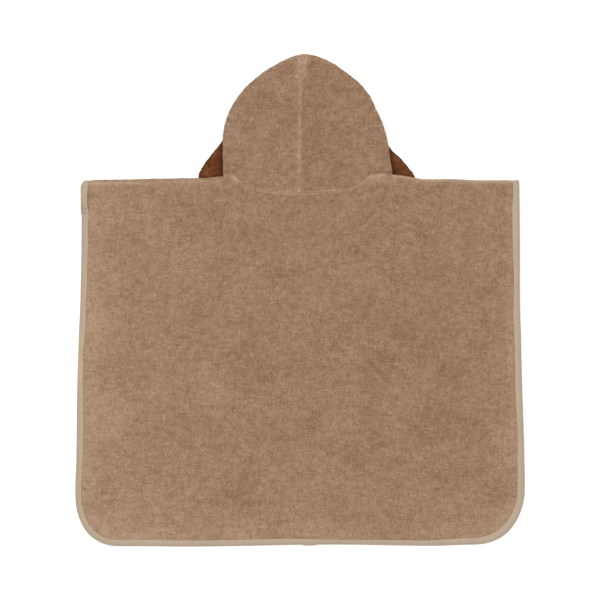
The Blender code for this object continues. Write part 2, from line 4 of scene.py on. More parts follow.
import bpy
import numpy as np
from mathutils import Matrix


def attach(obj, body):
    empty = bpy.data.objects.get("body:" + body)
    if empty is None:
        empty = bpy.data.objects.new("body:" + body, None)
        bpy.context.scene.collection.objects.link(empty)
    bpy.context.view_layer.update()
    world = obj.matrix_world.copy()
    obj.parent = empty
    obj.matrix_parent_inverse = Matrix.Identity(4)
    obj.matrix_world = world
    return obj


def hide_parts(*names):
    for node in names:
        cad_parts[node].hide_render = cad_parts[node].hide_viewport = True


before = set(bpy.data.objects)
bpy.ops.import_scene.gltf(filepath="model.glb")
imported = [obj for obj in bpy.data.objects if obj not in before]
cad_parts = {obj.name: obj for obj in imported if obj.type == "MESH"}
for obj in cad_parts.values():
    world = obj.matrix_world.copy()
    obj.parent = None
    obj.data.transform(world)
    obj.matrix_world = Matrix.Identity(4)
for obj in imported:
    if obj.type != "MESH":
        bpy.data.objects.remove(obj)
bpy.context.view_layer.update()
bpy.ops.object.select_all(action="DESELECT")

# ------------------------------------------------------------------ ears
# Two floppy ears of dark brown terry, each of two layers sewn together round the edge and turned right
# side out. They hang from the sides of the hood and lie flat under it, so only their outer edges show.
# Lengths are in millimetres, x across the garment, y up it and z up from the floor.
MM = 0.001
EAR_THICK = 3.6
EAR_LENGTH = 141.0
EAR_PITCH = 2.2
EAR_SEAM_ROUND = 3.4            # the sewn edge thins out over this distance
EAR_EDGE_SHADE = 3.2             # and takes a painted shade over this one, where it rolls away
EAR_FUZZ = 0.9                  # loops stand out past the edge by up to this much
HOOD_FOOT = 186.0               # the shoulder crosses the ears at this height, and a painted shade lies along it
LOOPS_PER_METRE = 560
TERRY_BUMP = 0.0011             # height of the pile's relief, in metres
TERRY_FINISH = {"Roughness": 0.95, "Specular IOR Level": 0.15, "Sheen Weight": 0.03, "Sheen Roughness": 0.6}
# Dyes of the loops at their darkest, middle and lightest
EAR_BROWNS = ((0.034, 0.0085, 0.0022), (0.113, 0.0315, 0.0072), (0.186, 0.0740, 0.0290))

# Where each ear is sewn on, how far it leans out in degrees, and where the hood's edge crosses it
Ear = namedtuple("Ear", "name side root_x root_y lean hood_x hood_slope")
EARS = (
    Ear("ear_left", -1, -86.0, 275.0, 16.0, -116.0, 0.0),
    Ear("ear_right", 1, 97.0, 264.8, 22.0, 138.5, 0.14),
)

# Outline of an ear, from its narrow sewn end to its round tip
EarSection = namedtuple("EarSection", "along half_width")
EAR_SECTIONS = (
    EarSection(0, 13.0),
    EarSection(25, 15.5),
    EarSection(45, 20.5),
    EarSection(75, 33.0),
    EarSection(92, 38.4),
    EarSection(100, 39.9),
    EarSection(107, 37.8),
    EarSection(117, 33.0),
    EarSection(127, 26.5),
    EarSection(135, 19.0),
)
EAR_WIDEST = EAR_SECTIONS[5]


def ease(value):
    """A soft step from 0 to 1."""
    t = np.clip(value, 0.0, 1.0)
    return t * t * (3 - 2 * t)


def mix(first, second, share):
    """What lies between two values, by a share from 0 to 1."""
    return first + (second - first) * share


def bell(distance, width):
    """A soft ridge: 1 on its crest, close to 0 a width away."""
    return np.exp(-2 * (np.asarray(distance) / width) ** 2)


class SmoothLine:
    """A smooth line through the rows of a table, read at many places at once."""

    def __init__(self, keys, values):
        self.keys = np.asarray(keys, float)
        self.values = np.asarray(values, float)
        self.slopes = np.gradient(self.values, self.keys, axis=0)

    def __call__(self, at):
        at = np.asarray(at, float)
        start = np.clip(np.searchsorted(self.keys, at) - 1, 0, len(self.keys) - 2)
        span = self.keys[start + 1] - self.keys[start]
        t = np.clip((at - self.keys[start]) / span, 0.0, 1.0)
        if self.values.ndim > 1:
            span, t = span[..., None], t[..., None]
        rise = 3 * t ** 2 - 2 * t ** 3
        near = span * (t ** 3 - 2 * t ** 2 + t) * self.slopes[start]
        far = span * (t ** 3 - t ** 2) * self.slopes[start + 1]
        return mix(self.values[start], self.values[start + 1], rise) + near + far


def line_through(rows):
    """The smooth line through a table; the first value of each row is the place that the others are for."""
    table = np.array(rows, float)
    return SmoothLine(table[:, 0], table[:, 1:] if table.shape[1] > 2 else table[:, 1])


ear_half_width = line_through(EAR_SECTIONS)


def unevenness(x, y, pitch, seed):
    """Soft random mounds and hollows from -1 to 1, about one of each in every two pitches."""
    size = 512
    heights = np.random.default_rng(seed).uniform(-1, 1, (size, size))
    column, row = np.asarray(x) / pitch + 200.3, np.asarray(y) / pitch + 200.7
    left, low = np.floor(column).astype(int), np.floor(row).astype(int)
    across, up = ease(column - left), ease(row - low)
    right, high = (left + 1) % size, (low + 1) % size
    left, low = left % size, low % size
    near = mix(heights[low, left], heights[low, right], across)
    far = mix(heights[high, left], heights[high, right], across)
    return mix(near, far, up)


def mottled(x, y, layers):
    """Several sizes of unevenness laid over each other, each with its strength, pitch and seed."""
    return sum(strength * unevenness(x, y, pitch, seed) for strength, pitch, seed in layers)


def facing_out(points, faces):
    """The four-sided faces of a closed mesh, turned over if they point inwards."""
    corner = points[faces]
    spread = np.cross(corner[:, 1], corner[:, 2]) + np.cross(corner[:, 2], corner[:, 3])
    volume = np.einsum("ij,ij->i", corner[:, 0], spread).sum()
    return faces[:, ::-1] if volume < 0 else faces


def new_piece(name, points, faces, material):
    """A smooth piece made of its points, in millimetres, and its faces."""
    mesh = bpy.data.meshes.new(name)
    mesh.from_pydata((points * MM).tolist(), [], faces)
    mesh.shade_smooth()
    mesh.materials.append(material)
    piece = bpy.data.objects.new(name, mesh)
    bpy.context.collection.objects.link(piece)
    return piece


def mark_cloth(piece, cloth, tone):
    """Keeps each point's place on the unsewn cloth, for the weave, and how light or dark it looks, painted
    light and shade included.
    """
    made = piece.data.attributes
    made.new("cloth", "FLOAT_VECTOR", "POINT").data.foreach_set("vector", cloth.ravel() * MM)
    made.new("tone", "FLOAT", "POINT").data.foreach_set("value", tone.ravel())


def sew_sheet(name, outer, inner, pattern, tones, material, left_out=None):
    """A closed sheet of cloth: an outer and an inner skin on one lattice, joined round every open edge.

    Pattern is where each point lies on the cloth before it was sewn, tones how much lighter or darker
    the pile looks there, painted light and shade included, on the outer and on the inner skin.
    """
    rows, columns = outer.shape[:2]
    total = rows * columns
    number = np.arange(total).reshape(rows, columns)
    cells = np.stack((number[:-1, :-1], number[:-1, 1:], number[1:, 1:], number[1:, :-1]), axis=-1)
    if left_out is not None:
        cells = cells[~left_out]
    cells = cells.reshape(-1, 4)
    ways = np.concatenate([cells[:, [i, (i + 1) % 4]] for i in range(4)])
    open_ways = ways[~np.isin(ways[:, 0] * total + ways[:, 1], ways[:, 1] * total + ways[:, 0])]
    start, end = open_ways[:, 0], open_ways[:, 1]
    rim = np.stack((end, start, start + total, end + total), axis=-1)
    faces = np.concatenate((cells, cells[:, ::-1] + total, rim))
    points = np.concatenate((outer.reshape(-1, 3), inner.reshape(-1, 3)))
    depth = np.linalg.norm(outer - inner, axis=-1).reshape(-1)
    cloth = np.column_stack((np.tile(pattern.reshape(-1, 2), (2, 1)), np.concatenate((depth, -depth)) / 2))
    tone = np.concatenate([skin.reshape(-1) for skin in tones])
    used = np.unique(faces)
    renumber = np.zeros(2 * total, int)
    renumber[used] = np.arange(len(used))
    faces = renumber[facing_out(points, faces)]
    piece = new_piece(name, points[used], faces.tolist(), material)
    mark_cloth(piece, cloth[used], tone[used])
    bpy.context.view_layer.objects.active = piece
    piece.select_set(True)
    bpy.ops.object.shade_smooth_by_angle(angle=math.radians(50))
    piece.select_set(False)
    return piece


def calculate(tree, operation, *values):
    """A Math node, each of whose values is a number or another node's output."""
    node = tree.nodes.new("ShaderNodeMath")
    node.operation = operation
    for socket, value in zip(node.inputs, values):
        if isinstance(value, (int, float)):
            socket.default_value = value
        else:
            tree.links.new(value, socket)
    return node.outputs[0]


def noise(tree, place, scale, detail, roughness):
    """Cloudy noise round a middle of one half."""
    node = tree.nodes.new("ShaderNodeTexNoise")
    node.inputs["Scale"].default_value = scale
    node.inputs["Detail"].default_value = detail
    node.inputs["Roughness"].default_value = roughness
    tree.links.new(place, node.inputs["Vector"])
    return node.outputs["Fac"]


def terry_pile_group():
    """Looped pile: round loops on their pitch, tufts that lean together, and faint broad clouds."""
    group = bpy.data.node_groups.new("terry_pile", "ShaderNodeTree")
    for socket, kind in (("Cloth", "NodeSocketVector"), ("Loops per metre", "NodeSocketFloat")):
        group.interface.new_socket(socket, in_out="INPUT", socket_type=kind)
    for socket in ("Height", "Tone"):
        group.interface.new_socket(socket, in_out="OUTPUT", socket_type="NodeSocketFloat")
    nodes, links = group.nodes, group.links
    given = nodes.new("NodeGroupInput")
    result = nodes.new("NodeGroupOutput")

    def weighed(*parts):
        """The sum of several patterns, each with its weight."""
        total = 0
        for pattern, weight in parts:
            total = calculate(group, "MULTIPLY_ADD", pattern, weight, total)
        return total

    def clouds(scale, detail, roughness, stretch=(1, 1, 1)):
        """Soft patches, lighter and darker by turns; a stretch below 1 draws them out that way."""
        drawn = nodes.new("ShaderNodeMapping")
        drawn.inputs["Scale"].default_value = stretch
        links.new(given.outputs["Cloth"], drawn.inputs["Vector"])
        patchy = noise(group, drawn.outputs["Vector"], scale, detail, roughness)
        return calculate(group, "SUBTRACT", patchy, 0.5)

    loops = nodes.new("ShaderNodeTexVoronoi")
    loops.feature = "SMOOTH_F1"
    loops.voronoi_dimensions = "2D"
    loops.inputs["Smoothness"].default_value = 0.35
    loops.inputs["Randomness"].default_value = 0.9
    links.new(given.outputs["Cloth"], loops.inputs["Vector"])
    links.new(given.outputs["Loops per metre"], loops.inputs["Scale"])
    tops = calculate(group, "MULTIPLY_ADD", loops.outputs["Distance"], -1.0, 0.5)
    tufts = clouds(330, 3, 0.6)
    weft = clouds(300, 2, 0.5, (0.28, 1.15, 1))
    warp = clouds(300, 2, 0.5, (1.15, 0.35, 1))
    patches = clouds(95, 3, 0.65, (0.92, 1.02, 1))
    broad = clouds(15, 4, 0.65)
    height = weighed((tops, 0.5), (tufts, 0.9), (weft, 0.5), (patches, 0.8))
    # in the tone the loops' tops give painted light on the loops and painted shade in the hollows between
    # them
    tone = weighed((tops, 0.9), (tufts, 1.15), (weft, 0.8), (warp, 0.78), (patches, 1.02), (broad, 0.82))
    links.new(height, result.inputs["Height"])
    links.new(tone, result.inputs["Tone"])
    return group


TERRY_PILE = terry_pile_group()


def new_material(name, finish):
    """A new material with the values of its finish set on its shader; also gives its tree and shader."""
    made = bpy.data.materials.new(name)
    made.use_nodes = True
    shader = made.node_tree.nodes["Principled BSDF"]
    for socket, value in finish.items():
        shader.inputs[socket].default_value = value
    return made, made.node_tree, shader


def sewn(tree, attribute, output):
    """What the piece keeps at its points under a name."""
    node = tree.nodes.new("ShaderNodeAttribute")
    node.attribute_name = attribute
    return node.outputs[output]


def dyed(tree, shade, colours):
    """Evenly spaced colours, the darkest at a shade of 0 and the lightest at 1."""
    ramp = tree.nodes.new("ShaderNodeValToRGB")
    if len(colours) == 3:
        ramp.color_ramp.elements.new(0.5)
    for stop, colour in zip(ramp.color_ramp.elements, colours):
        stop.color = (*colour, 1)
    tree.links.new(shade, ramp.inputs["Fac"])
    return ramp.outputs["Color"]


def raised(tree, height, distance):
    """A bump as high as the distance, in metres."""
    bump = tree.nodes.new("ShaderNodeBump")
    bump.inputs["Distance"].default_value = distance
    bump.inputs["Strength"].default_value = 0.7
    tree.links.new(height, bump.inputs["Height"])
    return bump.outputs["Normal"]


def terry(name, colours):
    """Cotton towelling: dyed loops, with painted light on their tops and painted shade down between them,
    and a soft edge to the light.
    """
    made, tree, shader = new_material(name, TERRY_FINISH)
    pile = tree.nodes.new("ShaderNodeGroup")
    pile.node_tree = TERRY_PILE
    pile.inputs["Loops per metre"].default_value = LOOPS_PER_METRE
    tree.links.new(sewn(tree, "cloth", "Vector"), pile.inputs["Cloth"])
    both = calculate(tree, "ADD", pile.outputs["Tone"], sewn(tree, "tone", "Fac"))
    shade = calculate(tree, "MULTIPLY_ADD", both, 0.5, 0.5)
    tree.links.new(dyed(tree, shade, colours), shader.inputs["Base Color"])
    tree.links.new(raised(tree, pile.outputs["Height"], TERRY_BUMP), shader.inputs["Normal"])
    return made


def brown_ear(ear, material):
    """One ear, laid on the floor from its sewn root."""
    rows = round(EAR_LENGTH / EAR_PITCH)
    columns = round(2 * EAR_WIDEST.half_width / EAR_PITCH)
    share = np.linspace(0, 1, rows + 1)[:, None]
    along = EAR_LENGTH * np.where(share < 0.5, share, 1 - (1 - np.sin((share - 0.5) * math.pi)) / 2)
    last = EAR_SECTIONS[-1].along
    closing = np.sqrt(np.clip(1 - (np.clip(along - last, 0, None) / (EAR_LENGTH - last)) ** 2, 0, 1))
    half = ear_half_width(along) * closing
    even = np.linspace(-1, 1, columns + 1)[None, :]
    place = mix(np.sin(even * math.pi / 2), even, 0.5)
    across = half * place
    along = along + 0 * across
    edge = np.minimum(half - np.abs(across), 0.45 * (EAR_LENGTH - along) + 0 * across)
    full = np.sqrt(1 - (1 - np.clip(edge / EAR_SEAM_ROUND, 0, 1)) ** 2)
    loops_out = EAR_FUZZ * unevenness(along, np.sign(across) * 50, 3.1, 4) / np.maximum(half, 4)
    across = across * (1 + loops_out * (np.abs(place) > 0.9))
    lean = math.radians(ear.side * ear.lean)
    x = ear.root_x + across * math.cos(lean) + along * math.sin(lean)
    y = ear.root_y + across * math.sin(lean) - along * math.cos(lean)
    soft = mottled(x, y, ((0.16, 14, 5), (0.1, 5, 6)))
    top = EAR_THICK / 2 * (1 + full * (1 + soft - 0.16))
    floor = EAR_THICK / 2 * (1 - full * (1 + 0.3 * soft - 0.05))
    outer = np.stack((x, y, top), axis=-1)
    inner = np.stack((x, y, floor), axis=-1)
    # painted shade along the rounded sewn edge, kept on both skins
    edge_shade = -1.0 * (1 - ease(edge / EAR_EDGE_SHADE))
    plain = edge_shade + 0.2 * unevenness(x, y, 15, 7) + 0.3 * unevenness(x, y, 5, 8)
    # painted shade where the hood's edge and the shoulder lie over it, with one brushed place in their
    # corner
    above_foot = y - HOOD_FOOT
    past_hood = ear.side * (x - ear.hood_x) + ear.hood_slope * above_foot
    # how strong the painted shade beside the hood's edge is, weaker up the right ear
    pressed = 0.57 * (1 - 0.85 * ease((above_foot - 6) / 20) * (ear.side > 0))
    tone = plain - pressed * bell(past_hood, 7.0) - 0.3 * bell(above_foot + 3, 5.0)
    tone += 0.4 * bell(past_hood - 26, 9.0) * bell(above_foot - 6, 8.0)
    pattern = np.stack((across, along), axis=-1)
    return sew_sheet(ear.name + "_terry", outer, inner, pattern, (tone, plain), material)


ear_terry = terry("brown ear terry", EAR_BROWNS)
for ear in EARS:
    flap = brown_ear(ear, ear_terry)
    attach(flap, "root")
    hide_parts(ear.name)

# ------------------------------------------------------------------ front panel
# The front of the body, cut from beige terry with round hem corners and a dipped neckline. It lies
# against the floor and turns over at the shoulder to meet the back panel.
BODY_LENGTH = 551.5             # shoulder to hem
HALF_WIDTH = 332.0              # centre line to the side edge of the pattern
CORNER = {-1: 67.5, 1: 78.0}    # radius of the rounded hem corners, left and right
SHOULDER_CORNER = {-1: 1.6, 1: 0.3}     # how far the shoulder's ends stand in, left and right
CORNER_DEPTH = 8.0              # they do so less and less, down to this depth
SHOULDER_ROUND = {-1: 5.5, 1: 2.5}      # radius of the shoulder's ends, left and right
ROUND_DEPTH = 20.0              # their rounding is gone at this depth
HOOD_HEIGHT = 188.5             # shoulder to the hood's peak
FRONT_NECK_DIP = 55.0
TERRY = 2.6                     # thickness of the towelling
PRESSED = 1.2                   # the same cloth pressed flat inside the tape
TAPE_WIDTH = 10.0
TAPE_WALL = 0.9
SEAM_GAP = 0.3
SWELL = 14.0                    # the lower layer comes down from the tape's height over this distance
PILE_RISE = 2.5                 # the pile stands up to its full height this far in from the tape
# How much fuller the fold is, how far in from it that holds, and over what distance it fades
FOLD_PUFF, FOLD_GRIP, FOLD_FADE = 0.35, 4.0, 22.0
# The cloth stays up so far round an ear and comes down over the next distance
EAR_REACH, EAR_FALL = 24.0, 34.0
# There the upper layer also stands off the lower one by its slack, so far out and over so far
LAYER_SLACK, SLACK_REACH, SLACK_FALL = 0.9, 60.0, 45.0
FACE_SAG = 2.2                  # the back of the hood sinks this far into the face opening
FACE_MIDDLE_BELOW_PEAK = 130.0
SAG_HALF_WIDTH, SAG_HALF_HEIGHT = 50.0, 72.0
BODY_PITCH = 3.3
NECK_SEAM_RISE = 0.1            # both cloths stand this much proud where they meet at the neck seam
ROLL_STEPS = 9                  # steps of a quarter turn round the fold
FOLD_ROWS = (4.2, 5.1, 6.1, 7.3, 8.8, 11)       # the first rows below the fold, closer together
HIDDEN_EDGE, HIDDEN_ROW = 1.2, 4.5      # the cloth's edge inside the tape, and from it to the next row
SQUARE_HALF, FOLLOW_OVER = 190.0, 60.0  # columns are upright this far out, then come to follow the side
HEM_REACH = 150.0               # the hem's line is followed up to this height above it
SHOULDER_SHARE = 0.6            # and the shoulder's over this share of the length
CUT_APART = 900.0               # the front is cut this far from the back, so that its pile is another
SAME_PLACE = 0.01               # places nearer than this are one
NECK_BLEND = 124.0              # rows below this run straight across, above it they follow the neckline
BODY_BEIGES = ((0.104, 0.0503, 0.0223), (0.238, 0.1395, 0.0825), (0.372, 0.2575, 0.1735))

FOLD_Y = (BODY_LENGTH - HOOD_HEIGHT) / 2
HEM_Y = FOLD_Y - BODY_LENGTH
PEAK = (4.4, FOLD_Y + HOOD_HEIGHT)
NECK_CORNER = {-1: (-115.5, FOLD_Y + 4.0), 1: (139.0, FOLD_Y + 6.8)}
TAPE_STACK = PRESSED + 2 * (SEAM_GAP + TAPE_WALL)
SEAM_X = -2.4                   # the centre seam meets the neckline here

Side = namedtuple("Side", "below left right")
SIDES = (
    Side(0, -328.2, 329.2),
    Side(60, -327.8, 329.8),
    Side(120, -328.4, 330.1),
    Side(181, -329.8, 330.2),
    Side(241, -332.2, 331.8),
    Side(301, -334.2, 333.2),
    Side(421, -335.8, 336.8),
    Side(475, -337.2, 337.1),
    Side(493, -336.3, 336.3),
    Side(510, -336.3, 336.6),
    Side(525, -337.6, 337.9),
    Side(538, -339.4, 339.9),
    Side(551.5, -340.6, 341.2),
)
Hem = namedtuple("Hem", "across rise")
HEM = (
    Hem(-338, 0.6),
    Hem(-250, 0.6),
    Hem(-160, 0.0),
    Hem(-75, 1.2),
    Hem(0, 2.6),
    Hem(70, 2.9),
    Hem(150, 1.6),
    Hem(200, 1.1),
    Hem(250, 2.7),
    Hem(338, 3.4),
)
Shoulder = namedtuple("Shoulder", "across rise")
SHOULDER = (
    Shoulder(-338, -1.9),
    Shoulder(-320, -1.2),
    Shoulder(-280, -0.7),
    Shoulder(-237, 0.2),
    Shoulder(-165, 1.3),
    Shoulder(-142, 1.8),
    Shoulder(-115.5, 4.0),
    Shoulder(0, 5.0),
    Shoulder(139, 6.8),
    Shoulder(168, 2.8),
    Shoulder(181, 0.2),
    Shoulder(195, -0.5),
    Shoulder(215, 0.0),
    Shoulder(240, -0.3),
    Shoulder(256, -1.2),
    Shoulder(290, -1.8),
    Shoulder(316, -1.4),
    Shoulder(338, -0.6),
)
Neck = namedtuple("Neck", "across below")
BACK_NECK = (
    Neck(-105.2, -7.6),
    Neck(-96.7, -5.2),
    Neck(-90.2, 0.4),
    Neck(-81.2, 5.4),
    Neck(-72.2, 9.6),
    Neck(-60.2, 14.3),
    Neck(-45.2, 18.3),
    Neck(-27.0, 20.3),
    Neck(0, 20.9),
    Neck(17.9, 20.6),
    Neck(44.9, 19.1),
    Neck(62.9, 16.4),
    Neck(74.9, 13.0),
    Neck(85.4, 8.3),
    Neck(92.9, 3.2),
    Neck(98.9, -2.0),
    Neck(106.4, -5.9),
    Neck(116.9, -7.7),
    Neck(128.9, -7.0),
)

side_edges = line_through(SIDES)
hem_rise = line_through(HEM)
shoulder_rise = line_through(SHOULDER)


def build_up(inset, from_fold):
    """Height of the lower layer's middle, radius of the fold's middle and cloth thickness."""
    open_cloth = ease((inset - TAPE_WIDTH) / SWELL)
    rest = mix(TAPE_STACK, TERRY, open_cloth) / 2
    puff = FOLD_PUFF * (1 - ease((from_fold - FOLD_GRIP) / FOLD_FADE))
    return rest, rest + SEAM_GAP / 2 + puff, mix(PRESSED, TERRY, ease((inset - TAPE_WIDTH) / PILE_RISE))


OPEN_REST, OPEN_RADIUS, _ = build_up(HALF_WIDTH, 0)
FOLD_AXIS = OPEN_REST + OPEN_RADIUS


def past_ear(ear, x, y):
    """Distance from the outline of an ear, roughly, and below zero inside it."""
    lean = math.radians(ear.lean)
    way = (ear.side * math.sin(lean), -math.cos(lean))
    along = np.clip((x - ear.root_x) * way[0] + (y - ear.root_y) * way[1], 0, EAR_WIDEST.along)
    off_x, off_y = x - ear.root_x - along * way[0], y - ear.root_y - along * way[1]
    return np.hypot(off_x, off_y) - ear_half_width(along)


def settle(x, y, z, upper):
    """Lifts points over the ears; upper runs from 0 in the lower layer to 1 in the upper one."""
    away = np.minimum(past_ear(EARS[0], x, y), past_ear(EARS[1], x, y))
    rise = (EAR_THICK + SEAM_GAP) * (1 - ease((away - EAR_REACH) / EAR_FALL))
    slack = LAYER_SLACK * (1 - ease((away - SLACK_REACH) / SLACK_FALL))
    face_middle = FOLD_Y + HOOD_HEIGHT - FACE_MIDDLE_BELOW_PEAK
    into_face = 1 - ((x - SEAM_X) / SAG_HALF_WIDTH) ** 2 - ((y - face_middle) / SAG_HALF_HEIGHT) ** 2
    return z + rise + upper * (slack - FACE_SAG * ease(into_face))


def side_edge(side, y):
    """Across place of the left (-1) or right (1) edge of the body at a height on the plan."""
    below = FOLD_Y - y
    edge = side_edges(below)[..., 0 if side < 0 else 1]
    return edge - side * SHOULDER_CORNER[side] * (1 - ease(below / CORNER_DEPTH))


# The tape is laid over double, and drawn in by so much, between these heights on the left side
LAP_END, LAP_TOP, LAP_DRAW = 136.0, 163.0, 1.8
LEFT_TAPE = -300.0              # what lies left of here is on the left side


def under_lap(y, low, high):
    """1 where the tape is double on the left side, falling off over a few millimetres at each end."""
    return ease((y - low + 3) / 7) * (1 - ease((y - high + 3) / 10))


def shoulder_round(side, inset, below):
    """How far the round end of the shoulder lowers a point, near the fold and the side edge."""
    near = np.clip(1 - inset / SHOULDER_ROUND[side], 0, 1)
    return SHOULDER_ROUND[side] * (1 - np.sqrt(1 - near ** 2)) * (1 - ease(below / ROUND_DEPTH))


def round_corner(inset, rise, radius):
    """Bends the square corner of the lattice round; what lies some way in from the edge stays so."""
    near, far = np.minimum(inset, rise), np.maximum(inset, rise)
    outer = far < radius
    angle = (1 - (far - near) / np.where(outer, radius - near, 1)) * math.pi / 4
    short = np.where(outer, radius - (radius - near) * np.cos(angle), near)
    long = np.where(outer, radius - (radius - near) * np.sin(angle), far)
    return np.where(inset <= rise, short, long), np.where(inset <= rise, long, short)


def follow_side(side, inset, y):
    """Across place of a point that lies inset from a side edge; the middle of the panel stays square."""
    follow = ease((HALF_WIDTH - inset - SQUARE_HALF) / FOLLOW_OVER)
    return side * (HALF_WIDTH - inset) + (side_edge(side, y) - side * HALF_WIDTH) * follow


def pattern_to_plan(side, inset, rise):
    """Plan place of a point that lies inset from a side edge and rise above the hem."""
    y = HEM_Y + rise
    x = follow_side(side, inset, y)
    lift = shoulder_rise(x) * np.minimum(rise / (SHOULDER_SHARE * BODY_LENGTH), 1)
    y = y + lift - shoulder_round(side, inset, FOLD_Y - y)
    return x, y + hem_rise(x) * np.clip(1 - rise / HEM_REACH, 0, 1)


def neckline(layer, x):
    """Height on the plan of the neckline of the back (layer 1) or the front (layer -1)."""
    ends = {side: (across - side * FOLD_AXIS, up - FOLD_AXIS) for side, (across, up) in NECK_CORNER.items()}
    if layer > 0:
        between = [(row.across, FOLD_Y - row.below) for row in BACK_NECK]
        return line_through([ends[-1]] + between + [ends[1]])(x)
    x = np.asarray(x, float)
    end_x = np.where(x < SEAM_X, ends[-1][0], ends[1][0])
    end_y = np.where(x < SEAM_X, ends[-1][1], ends[1][1])
    share = np.clip(np.abs((x - SEAM_X) / (end_x - SEAM_X)), 0, 1)
    return mix(end_y, FOLD_Y - FRONT_NECK_DIP, 0.5 + 0.5 * np.cos(np.pi * share))


def inside_neck(x):
    """How far a place lies in from the nearer corner of the neck, below zero outside them."""
    return np.minimum(x - NECK_CORNER[-1][0], NECK_CORNER[1][0] - x)


def body_row(layer, across, below, angle, outward):
    """One row of a body panel: its points, their distance from the bound edges and from the fold."""
    left = across < 0
    inset = np.minimum(HALF_WIDTH - np.abs(across), BODY_LENGTH - below)
    in_neck = inside_neck(across) > FOLD_AXIS - SAME_PLACE
    rest, radius, thick = build_up(inset, 0)
    axis = rest + radius
    if below <= FOLD_GRIP:
        radial = radius + outward * thick / 2
        turn = math.radians(angle)
        drop = axis - radial * math.cos(turn)
        y = FOLD_Y + shoulder_rise(across) - drop
        side_inset = HALF_WIDTH - np.abs(across)
        x = np.where(left, follow_side(-1, side_inset, y), follow_side(1, side_inset, y))
        y = y - np.where(left, shoulder_round(-1, side_inset, drop), shoulder_round(1, side_inset, drop))
        for side in (-1, 1):
            corner = np.abs(across - NECK_CORNER[side][0] + side * FOLD_AXIS) < SAME_PLACE
            x = np.where(corner, NECK_CORNER[side][0] - side * drop, x)
            y = np.where(corner, NECK_CORNER[side][1] - drop, y)
        if angle == 90:
            x = np.where(in_neck, across, x)
            y = np.where(in_neck, neckline(layer, across), y)
        z = axis + layer * (SEAM_GAP / 2 + (radial - SEAM_GAP / 2) * math.sin(turn))
        z = settle(x, y, z, 0.5 + 0.5 * layer * math.sin(turn))
        return x, y, z, inset, 0 * x
    dip = np.where(in_neck, FOLD_Y + shoulder_rise(across) - neckline(layer, across), axis)
    if below < NECK_BLEND:
        below = mix(dip, NECK_BLEND, (below - axis) / (NECK_BLEND - axis))
    below = below + 0 * across
    x, y = np.zeros_like(across), np.zeros_like(across)
    for side, here in ((-1, left), (1, ~left)):
        square = round_corner(HALF_WIDTH - np.abs(across[here]), BODY_LENGTH - below[here], CORNER[side])
        x[here], y[here] = pattern_to_plan(side, *square)
    from_fold = np.maximum(FOLD_Y + shoulder_rise(across) - y, inside_neck(x))
    rest, radius, thick = build_up(inset, from_fold)
    z = rest + radius + layer * (radius + outward * thick / 2)
    return x, y, settle(x, y, z, 0.5 + 0.5 * layer), inset, FOLD_Y + shoulder_rise(across) - y


def run(start, stop, pitch):
    """Places from start up to, but not at, stop."""
    return np.linspace(start, stop, max(round(abs(stop - start) / pitch), 1), endpoint=False)


def body_lattice():
    """Columns across a body panel, and rows as distances below the fold with the turn round it."""
    starts = {side: NECK_CORNER[side][0] - side * FOLD_AXIS for side in (-1, 1)}
    hidden, tape_edge = HIDDEN_EDGE, TAPE_WIDTH + 0.2
    columns = np.concatenate((
        [hidden - HALF_WIDTH, hidden + HIDDEN_ROW - HALF_WIDTH],
        run(tape_edge - HALF_WIDTH, starts[-1], BODY_PITCH),
        run(starts[-1], SEAM_X, BODY_PITCH),
        run(SEAM_X, starts[1], BODY_PITCH),
        run(starts[1], HALF_WIDTH - tape_edge, BODY_PITCH),
        [HALF_WIDTH - tape_edge, HALF_WIDTH - hidden - HIDDEN_ROW, HALF_WIDTH - hidden],
    ))
    rows = [(0, 90 * i / ROLL_STEPS) for i in range(ROLL_STEPS + 1)]
    rows += [(below, 90) for below in FOLD_ROWS[:-1]]
    rows += [(below, 90) for below in run(FOLD_ROWS[-1], NECK_BLEND, BODY_PITCH)]
    rows += [(below, 90) for below in run(NECK_BLEND, BODY_LENGTH - tape_edge, BODY_PITCH)]
    rows += [(BODY_LENGTH - edge, 90) for edge in (tape_edge, hidden + HIDDEN_ROW, hidden)]
    return columns, rows


# Soft creases left by folding: from one end to the other, how wide and how high (below 0 is a trough)
Crease = namedtuple("Crease", "x0 y0 x1 y1 width height")
CREASE_BEND, CREASE_FADE = 0.12, 0.35   # how much a crease bows, and how much of each end dies away


def creased(x, y, creases):
    """Height of the soft troughs and ridges at each place; each one dies away at its ends."""
    total = np.zeros_like(x)
    for crease in creases:
        run_x, run_y = crease.x1 - crease.x0, crease.y1 - crease.y0
        length = math.hypot(run_x, run_y)
        along = ((x - crease.x0) * run_x + (y - crease.y0) * run_y) / length
        bend = CREASE_BEND * length * (np.clip(along / length, 0, 1) - 0.5) ** 2
        aside = ((x - crease.x0) * run_y - (y - crease.y0) * run_x) / length - bend
        fade = ease(along / (CREASE_FADE * length)) * ease((length - along) / (CREASE_FADE * length))
        total += crease.height * fade * bell(aside, crease.width)
    return total


def toward_neck_corner(x):
    """0 at the middle of the neck seam, rising to 1 towards its two ends."""
    return ease((np.abs(x - 10) - 50) / 45)


